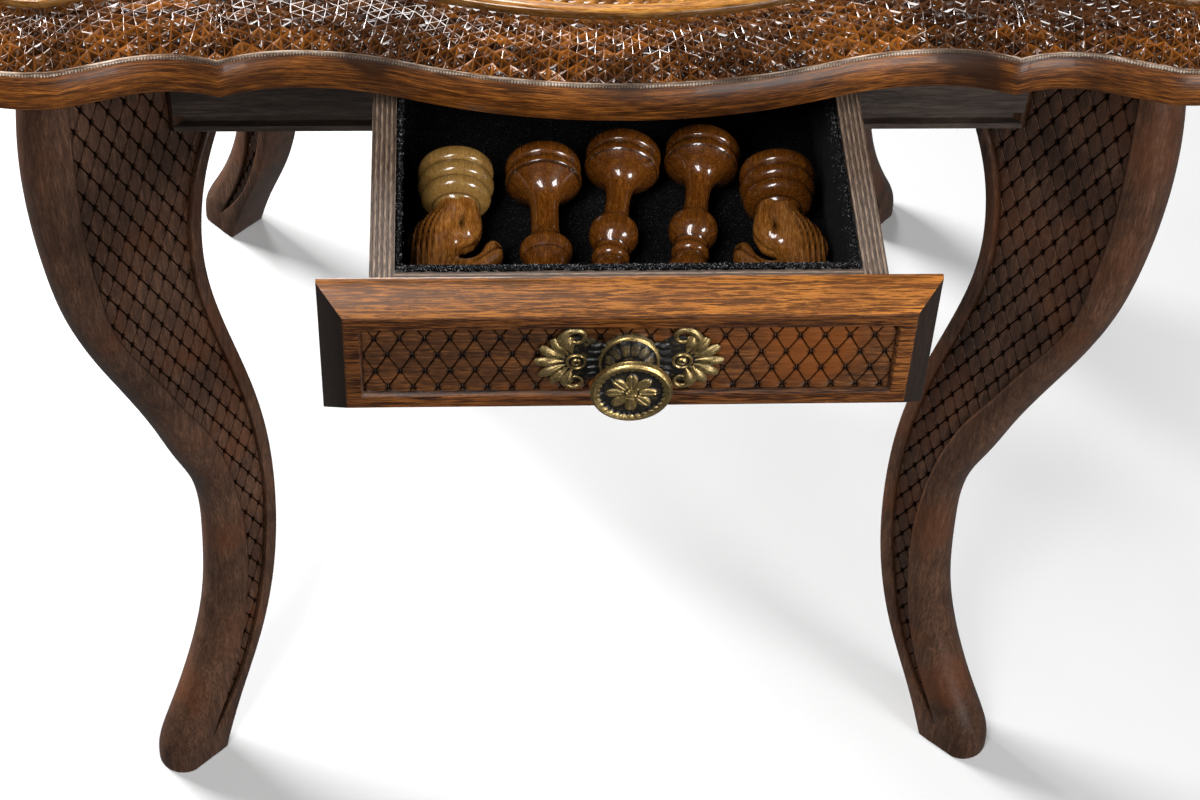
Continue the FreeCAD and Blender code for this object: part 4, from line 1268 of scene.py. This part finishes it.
def add_shell(shape, side):
    """Fluted shell end of the backplate, with a scroll above and below the screw."""
    y = PLATE_BACK_Y
    disc(shape, side * SHELL_X, y, SHELL_ROWS, 48)
    for angle, reach in PETALS:
        turn = math.radians(angle)
        bend = 0.10 * math.copysign(1, angle) if angle else 0.0
        shares = np.linspace(0.0, 1.0, PETAL_STEPS)
        lengths = 5.6 + (reach - 7.2) * shares
        turns = turn + bend * shares ** 2
        path = np.stack((side * (SHELL_X + lengths * np.cos(turns)),
                         y - 1.5 - 0.5 * np.sin(math.pi * shares),
                         lengths * np.sin(turns)), 1)
        radii = 0.55 + 2.35 * np.sin(np.clip(shares * 0.78 * math.pi, 0, math.pi)) ** 1.6
        radii[-1] *= 0.8
        brass_bar(shape, path, radii, 0.7)
    for up, size in ((1, 1.0), (-1, 0.84)):
        line = spline(SCROLL, 0.9)
        radii = np.interp(np.linspace(0, 1, len(line)), np.linspace(0, 1, len(SCROLL_RADII)), SCROLL_RADII)
        path = np.stack((side * (SHELL_X - line[:, 0] * size), np.full(len(line), y - 2.0),
                         up * line[:, 1] * size), 1)
        brass_bar(shape, path, radii * size, 0.8)
    disc(shape, side * SHELL_X, y, SCREW_SEAT_ROWS, 32)


def add_hub(shape):
    """Oval hub with a bright rim and a dark dish of leaves, and the arms that join the shells."""
    y = PLATE_BACK_Y
    points = []
    shade = []
    for number, (share, height, dark) in enumerate(HUB_ROWS):
        for angle in round_angles(HUB_SIDES):
            leaf = abs(math.sin(6 * angle)) ** 0.6 if number in LEAF_ROWS else 0.0
            points.append((15.8 * share * math.cos(angle), y - height - 0.9 * leaf,
                           18.0 * share * math.sin(angle)))
            shade.append(dark)
    shape.add(points, closed_grid(len(HUB_ROWS), HUB_SIDES), shade)
    for side in (1, -1):
        for z, lift in ARMS:
            ends = np.linspace(12.5, 21.5 - abs(z) * 0.15, ARM_STEPS)
            path = np.stack((side * ends, np.full(ARM_STEPS, y - lift), z + 0.05 * z * np.sin(ends)), 1)
            radii = 2.3 - 0.4 * np.abs(np.linspace(-1, 1, ARM_STEPS))
            tube(shape, path, radii, BAR_SIDES, 0.8, 0.9)


def make_backplate_mesh():
    """Brass backplate with two shells and a hub."""
    shape = Shape()
    add_shell(shape, 1)
    add_shell(shape, -1)
    add_hub(shape)
    return shape.mesh("pull_backplate_cast", [BRASS], 40.0)


KNOB_FRONT_Y = -38.0
KNOB_SIDES = 240
SCALLOPS = 30
# radius, y, cavity, scallop depth
KNOB_ROWS = ((5.4, -21.6, 1.0, 0), (6.6, -23.6, 0.9, 0), (5.2, -25.5, 0.9, 0), (5.0, -29.5, 0.9, 0),
             (6.8, -32.4, 0.8, 0), (17.6, -33.2, 0.5, 0), (19.8, -33.7, 0.1, 0), (20.5, -34.6, 0.0, 0),
             (20.5, -36.4, 0.0, 0), (20.0, -37.4, 0.0, 0), (18.9, -38.0, 0.0, 0), (17.8, -37.8, 0.1, 0.2),
             (17.0, -37.5, 0.25, 0.9), (16.4, -36.8, 1.0, 1.0))
# radii of the rings of the knob's face
KNOB_FIELD = (14.6, 13.8, 13.2, 12.6, 12.0, 11.2, 10.4, 9.4, 8.4, 7.4, 6.4, 5.4, 4.6, 4.0, 3.6, 3.2, 2.9,
              1.6)
ROSETTE_PETALS = 8
ROSETTE_REACH = 13.2


def rosette_relief(radius, angle):
    """Height and cavity of the generic flower on the knob's face."""
    wave = abs(math.cos(ROSETTE_PETALS / 2 * angle))
    reach = ROSETTE_REACH * (0.42 + 0.58 * wave ** 0.55)
    raised = min(1.0, max(0.0, (reach - radius) / 0.9))
    vein = 0.35 * math.exp(-(((1 - wave) * radius) / 0.25) ** 2) * (1 if radius > 4 else 0)
    button = 1.0 if radius < 3.0 else 0.0
    ring = 1.0 if 3.0 <= radius < 3.9 else 0.0
    height = 1.0 * raised * (0.65 + 0.35 * wave) - vein + 0.35 * button - 0.7 * ring
    shade = 1.0 - raised + 0.9 * ring + (0.6 if vein > 0.15 else 0.0)
    return height, min(1.0, max(0.0, shade))


def make_knob_mesh():
    """Turned knob with a scalloped rim ring and a flower in low relief."""
    shape = Shape()
    points = []
    shade = []
    turns = round_angles(KNOB_SIDES)
    for radius, y, dark, scallop in KNOB_ROWS:
        for angle in turns:
            r = radius - scallop * 0.9 * abs(math.sin(SCALLOPS / 2 * angle))
            points.append((r * math.cos(angle), y, r * math.sin(angle)))
            shade.append(dark)
    for radius in KNOB_FIELD:
        for angle in turns:
            height, dark = rosette_relief(radius, angle)
            grit = RANDOM.uniform(-0.1, 0.1) if dark > 0.9 else 0.0
            points.append((radius * math.cos(angle), KNOB_FRONT_Y + 1.5 - height + grit,
                           radius * math.sin(angle)))
            shade.append(dark)
    shape.add(points, closed_grid(len(KNOB_ROWS) + len(KNOB_FIELD), KNOB_SIDES), shade)
    return shape.mesh("pull_knob_cast", [BRASS], 35.0)


def make_pull_screws_mesh():
    """Two small domed screws with a socket in their heads."""
    shape = Shape()
    for side in (1, -1):
        disc(shape, side * SHELL_X, PLATE_BACK_Y - 2.5, SCREW_ROWS, 24)
    return shape.mesh("pull_screws_domed", [BRASS], 40.0)


BACKPLATE_MESH = make_backplate_mesh()
KNOB_MESH = make_knob_mesh()
PULL_SCREWS_MESH = make_pull_screws_mesh()
for drawer, matrix in DRAWERS.items():
    body = drawer + "_drawer"
    for node, finish, mesh in (("_pull_backplate", "_cast", BACKPLATE_MESH),
                               ("_pull_knob", "_cast", KNOB_MESH),
                               ("_pull_screws", "_domed", PULL_SCREWS_MESH)):
        put(drawer + node + finish, mesh, body, [drawer + node], matrix)


# ---- Chess pieces, upright on +Z and laid down ----

BASE_RADIUS = 20.5
TURNING_SIDES = 72
# each turned profile is a list of curves of (height, radius); a curve starts with a sharp line
# where the one before it ended
FOOT = [[(0.0, 2.0), (0.0, 17.5)], [(0.8, 19.3), (3.0, 20.3), (6.0, 20.4), (8.2, 19.4), (9.2, 17.9)]]
KNIGHT_TURNING = FOOT + [
    [(10.2, 19.2), (12.6, 20.4), (15.4, 20.2), (17.6, 18.6), (18.4, 16.6)],
    [(19.4, 18.0), (21.6, 18.8), (24.0, 18.2), (26.4, 15.6), (27.4, 12.6)],
    [(29.5, 11.2), (33.0, 10.4), (37.0, 8.5), (40.0, 5.0), (41.0, 1.0)]]
ROOK_TURNING = FOOT + [
    [(10.2, 19.6), (12.2, 20.5), (14.4, 20.5), (15.4, 20.1)],
    [(15.9, 18.9)],
    [(18.2, 16.2), (21.0, 13.0), (24.5, 10.0), (29.0, 8.1), (36.0, 7.5), (45.0, 7.5), (51.0, 8.0),
     (55.0, 9.4), (58.6, 12.6)],
    [(59.8, 13.7), (62.2, 14.0), (65.0, 13.5), (67.4, 12.4)],
    [(70.5, 11.5), (75.0, 11.2), (81.6, 11.8)],
    [(81.6, 9.0)],
    [(77.0, 8.6), (77.0, 1.0)]]
BISHOP_TURNING = FOOT + [
    [(10.2, 19.4), (12.4, 20.3), (14.6, 20.0), (15.6, 19.2)],
    [(18.0, 16.6), (20.5, 13.2), (23.5, 9.9), (27.0, 7.9), (32.0, 6.8), (38.0, 6.4), (44.0, 6.7),
     (49.0, 7.5), (51.6, 8.6)],
    [(52.2, 10.4)],
    [(55.0, 12.3), (58.4, 13.1), (62.2, 13.1), (66.0, 11.7), (69.4, 9.0)],
    [(71.0, 8.2), (73.0, 8.6), (74.4, 9.8), (76.2, 10.1), (77.8, 9.4), (79.0, 8.1)],
    [(82.0, 9.6), (87.0, 11.6), (92.5, 12.0), (98.0, 10.0), (103.0, 5.8), (105.6, 3.2)],
    [(106.6, 2.9), (107.8, 1.0)]]
KNIGHT_OUTLINE = ((16, -9.6), (20, -10), (28, -10.4), (33, -12.8), (38, -17.8), (43, -22), (48, -24.5),
                  (54, -25.4), (62, -24.8), (72, -21.5), (80, -15), (86, -7), (86.5, 0), (83, 6),
                  (78, 10.5), (72.5, 15.5), (67.5, 20.4), (63, 24), (57.5, 24.6), (52.8, 22),
                  (52.2, 17.6), (55.5, 14.6), (60.4, 11.8), (63.0, 8.0), (63.2, 3.8), (61.2, 0.8),
                  (58, 0.6), (54.6, 3.6), (51, 9), (46.5, 12.6), (40, 13.8), (34, 13), (27, 11.5),
                  (20, 10.6), (16, 10))
KNIGHT_HALF = 9.0
NECK_HALF = 11.0
HORSE_SLOT = 1
VOXEL = 1.0
SOFTENINGS = 14
# radius of the end that rests on the felt and its height on the upright piece
RESTING_END = {"knight": (KNIGHT_HALF, 70.0), "rook": (14.0, 63.0), "bishop": (13.2, 63.0)}
# kind, X, Y, swing in degrees and the way the piece faces
PIECES = {
    "chess_knight_left": ("knight", -86.0, -385.0, 0.0, 1),
    "chess_rook": ("rook", -39.0, -382.0, 0.0, 1),
    "chess_bishop_left": ("bishop", 5.5, -373.0, 8.0, 1),
    "chess_bishop_right": ("bishop", 49.0, -370.0, 9.0, 1),
    "chess_knight_right": ("knight", 87.5, -388.5, 3.0, -1),
}


def add_turning(shape, curves):
    """Turned body from its curves, closed at both ends."""
    line = []
    shade = []
    for number, curve in enumerate(curves):
        given = curves[number - 1][-1:] + curve if number else curve
        points = spline(given, 0.9) if len(given) > 2 else given
        for k, (z, r) in enumerate(points):
            if line and abs(line[-1][0] - z) + abs(line[-1][1] - r) < 1e-6:
                continue
            line.append((z, max(0.6, r)))
            shade.append(0.75 if k == len(points) - 1 else 0.0)
    points = [(r * math.cos(t), r * math.sin(t), z) for z, r in line for t in round_angles(TURNING_SIDES)]
    shape.add(points, closed_grid(len(line), TURNING_SIDES), np.repeat(shade, TURNING_SIDES))


def mesh_arrays(mesh):
    """Points, normals and faces of a mesh."""
    points = np.zeros(len(mesh.vertices) * 3)
    mesh.vertices.foreach_get("co", points)
    normals = np.zeros(len(mesh.vertices) * 3, np.float32)
    mesh.vertex_normals.foreach_get("vector", normals)
    return points.reshape(-1, 3), normals.reshape(-1, 3), [tuple(p.vertices) for p in mesh.polygons]


def rounded_block(outline, half):
    """Points, normals and faces of a slab with an outline, remeshed and softened all round."""
    count = len(outline)
    points = [(a, y, h) for y in (-half, half) for h, a in outline]
    faces = [tuple(range(count)), tuple(range(2 * count - 1, count - 1, -1))]
    faces += [(k, k + count, (k + 1) % count + count, (k + 1) % count) for k in range(count)]
    mesh = bpy.data.meshes.new("block")
    mesh.from_pydata(points, [], faces)
    block = new_object("block", mesh)
    remesh = block.modifiers.new("remesh", "REMESH")
    remesh.mode = "VOXEL"
    remesh.voxel_size = VOXEL
    smooth = block.modifiers.new("smooth", "SMOOTH")
    smooth.factor = 0.5
    smooth.iterations = SOFTENINGS
    bpy.context.view_layer.update()
    soft = bpy.data.meshes.new_from_object(block.evaluated_get(bpy.context.evaluated_depsgraph_get()))
    bpy.data.objects.remove(block)
    return mesh_arrays(soft)


def fade_in(value, width):
    """0 below zero, rising to 1 over a width."""
    return np.clip(value / width, 0, 1)


def mound(across, half_width, up, half_height):
    """Smooth bump, 1 in its middle, at distances across and up from it."""
    return np.exp(-((across / half_width) ** 2 + (up / half_height) ** 2))


def round_head(points, outline):
    """Rounds a slab down towards its outline and thins it above the neck."""
    edge = fade_in(clearance(points[:, (2, 0)], outline), 9)
    above_neck = fade_in(points[:, 2] - 30, 14)
    points[:, 1] *= 0.12 + 0.88 * np.sqrt(1 - (1 - edge) ** 2)
    points[:, 1] *= 1 - above_neck * (1 - KNIGHT_HALF / NECK_HALF)
    return points


def carve_horse(points, normals):
    """Mane locks, cheek, leaf, forelock, muzzle and nostril cut into the horse's head."""
    a, side, h = points.T
    facing = fade_in(np.abs(side), 3)
    swept = a + 11 + 14.2 * (1 - np.exp(-np.clip(h - 30, 0, 60) / 9))
    strand = np.abs(np.sin(math.pi * swept / 3.0)) ** 0.7
    mane = fade_in(14 - swept, 3) * fade_in(h - 32, 5)
    cheek = mound(a - 5, 6, h - 50, 8)
    leaf = mound(a - 2.6 - 0.03 * (h - 44) ** 2, 1.3, h - 44.5, 5)
    nostril = mound(a - 21.5, 1.3, h - 57, 1.6)
    mouth = np.exp(-((h - 65 + 0.8 * (a - 14)) / 0.8) ** 2) * fade_in(a - 8, 3)
    forelock = (np.abs(np.sin(math.pi * (a + 0.3 * (h - 66)) / 3.2)) ** 0.8 * fade_in(h - 60, 6)
                * fade_in(a + 11, 2) * fade_in(6 - a, 2))
    relief = (mane * (2.0 * strand - 1.2)
              + facing * (2.8 * cheek - 2.2 * leaf - 1.3 * nostril - 1.1 * mouth - 1.0 * forelock))
    shade = np.clip(mane * (0.9 - strand) * 1.5 + facing * (leaf + nostril + 0.8 * mouth + 0.5 * forelock),
                    0, 1)
    return points + normals * relief[:, None], shade


def make_knight_mesh(name, facing, foot_wood):
    """Ringed foot with a carved horse's head."""
    shape = Shape()
    add_turning(shape, KNIGHT_TURNING)
    outline = spline(KNIGHT_OUTLINE, 1.0)
    points, normals, faces = rounded_block(outline, NECK_HALF)
    points, shade = carve_horse(round_head(points, outline), normals)
    if facing < 0:
        points = points * (-1, 1, 1)
        faces = [tuple(reversed(face)) for face in faces]
    shape.add(points, faces, shade, HORSE_SLOT)
    return shape.mesh(name, [foot_wood, HEAD_WOOD], 50.0)


def make_turned_mesh(name, curves):
    """Turned chess piece."""
    shape = Shape()
    add_turning(shape, curves)
    return shape.mesh(name, [PIECE_WOOD], 50.0)


def lay_down(node, mesh, place):
    """Matrix that lays an upright piece on the felt where its CAD solid lies."""
    kind, x, y, swing, _ = place
    end_radius, end_height = RESTING_END[kind]
    tilt = math.asin((BASE_RADIUS - end_radius) / end_height)
    turn = turn_z(-swing) @ Matrix.Rotation(math.radians(90) + tilt, 4, "X")
    lowest = min((turn @ v.co).z for v in mesh.vertices)
    return Matrix.Translation((x * MM, y * MM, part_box(node)[0].z - lowest)) @ turn


for node, place in PIECES.items():
    kind, facing = place[0], place[4]
    if kind == "knight":
        mesh = make_knight_mesh(node + "_carved", facing, PALE_PIECE_WOOD if facing > 0 else PIECE_WOOD)
    else:
        mesh = make_turned_mesh(node + "_turned", ROOK_TURNING if kind == "rook" else BISHOP_TURNING)
    put(mesh.name, mesh, "front_drawer", [node], lay_down(node, mesh, place))


# ---- CAD nodes that stay, with their own materials ----

def paint(material, *nodes):
    """Gives CAD nodes a material."""
    for name in nodes:
        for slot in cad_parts[name].material_slots:
            slot.material = material


paint(APRON_WOOD_X, "front_apron", "rear_apron")
paint(APRON_WOOD_Y, "left_apron", "right_apron")
paint(BLOCK_WOOD, "front_left_block", "front_right_block", "rear_left_block", "rear_right_block")
paint(TRACK_WOOD, "left_runner", "right_runner", "left_kicker", "right_kicker")
paint(STOP_WOOD, "drawer_stop")
paint(PANEL_WOOD, "board_panel")
paint(DARK_VENEER, "dark_squares")
paint(LIGHT_VENEER, "light_squares")
paint(BORDER_VENEER, "board_border")
paint(STEEL, "leg_bolts", "leg_nuts", "top_screws")
for drawer in DRAWERS:
    paint(PLY_SIDE, drawer + "_drawer_left_side", drawer + "_drawer_right_side")
    paint(PLY_END, drawer + "_drawer_inner_front", drawer + "_drawer_back")
    paint(PLY_SHEET, drawer + "_drawer_bottom")
    paint(STEEL, drawer + "_front_screws")
    paint(BRASS, drawer + "_pull_bolt")


# ---- Floor, lights and camera ----

FLOOR_HALF = 8.0
CAMERA_AT = (-0.084627, -1.416583, 1.614744)
CAMERA_YAW = 0.0799943
CAMERA_PITCH = 0.8280767
CAMERA_ROLL = -0.0490963
CAMERA_LENS = 77.29
CAMERA_SENSOR = 36.0
WORLD_STRENGTH = 0.08
# name, place, target, size and power in watts
LIGHTS = (
    ("rear_strip", (-0.25, 1.3, 2.2), (0.0, -0.2, 0.75), (0.4, 0.8), 21.0),
    ("rear_left_key", (-2.6, 1.9, 1.45), (0.0, 0.0, 0.3), (1.5, 1.2), 360.0),
    ("front_right_key", (1.9, -1.9, 1.8), (0.0, -0.2, 0.4), (0.8, 0.8), 46.0),
    ("front_low_fill", (1.2, -2.4, 0.5), (0.0, -0.2, 0.5), (1.2, 0.8), 26.0),
    ("left_window_pane", (-0.92, -1.7, 2.4), (0.0, -0.4, 0.7), (0.28, 1.1), 19.0),
    ("right_window_pane", (-0.56, -1.7, 2.4), (0.0, -0.4, 0.7), (0.28, 1.1), 19.0),
)


def make_floor():
    """Pale studio floor that stays nearly white in the shade."""
    material, tree, shader, place = new_material("studio_floor")
    mottle = noise(tree, place, 3.0, 3.0)
    base = ramp(tree, mottle, [(0.3, grey(0.54)), (0.7, grey(0.57))])
    set_inputs(tree, shader, Base_Color=base, Roughness=0.9, Emission_Color=WHITE, Emission_Strength=0.05)
    corners = [(x * FLOOR_HALF, y * FLOOR_HALF, 0) for x, y in ((-1, -1), (1, -1), (1, 1), (-1, 1))]
    mesh = bpy.data.meshes.new("studio_floor")
    mesh.from_pydata(corners, [], [(0, 1, 2, 3)])
    mesh.materials.append(material)
    floor = new_object("studio_floor", mesh)
    floor.visible_diffuse = False
    floor.visible_glossy = False


def add_light(name, place, target, size, power):
    """Rectangular softbox aimed at a point."""
    data = bpy.data.lights.new(name, "AREA")
    data.shape = "RECTANGLE"
    data.size, data.size_y = size
    data.energy = power
    aim = Vector(target) - Vector(place)
    turn = aim.to_track_quat("-Z", "Y").to_matrix().to_4x4()
    new_object(name, data, Matrix.Translation(place) @ turn)


def make_world(strength):
    """Even pale surroundings."""
    world = bpy.data.worlds.new("studio")
    world.use_nodes = True
    background = world.node_tree.nodes["Background"]
    set_inputs(world.node_tree, background, Color=WHITE, Strength=strength)
    bpy.context.scene.world = world


def make_camera():
    """Camera above and in front of the open drawer, looking steeply down."""
    level = math.cos(CAMERA_PITCH)
    forward = Vector((math.sin(CAMERA_YAW) * level, math.cos(CAMERA_YAW) * level, -math.sin(CAMERA_PITCH)))
    right = Vector((math.cos(CAMERA_YAW), -math.sin(CAMERA_YAW), 0.0))
    down = forward.cross(right)
    across = math.cos(CAMERA_ROLL) * right + math.sin(CAMERA_ROLL) * down
    below = -math.sin(CAMERA_ROLL) * right + math.cos(CAMERA_ROLL) * down
    axes = Matrix((across, -below, -forward)).transposed().to_4x4()
    data = bpy.data.cameras.new("camera")
    data.sensor_width = CAMERA_SENSOR
    data.lens = CAMERA_LENS
    bpy.context.scene.camera = new_object("camera", data, Matrix.Translation(CAMERA_AT) @ axes)


make_floor()
make_world(WORLD_STRENGTH)
make_camera()
for light in LIGHTS:
    add_light(*light)
bpy.context.scene.view_settings.view_transform = "Standard"
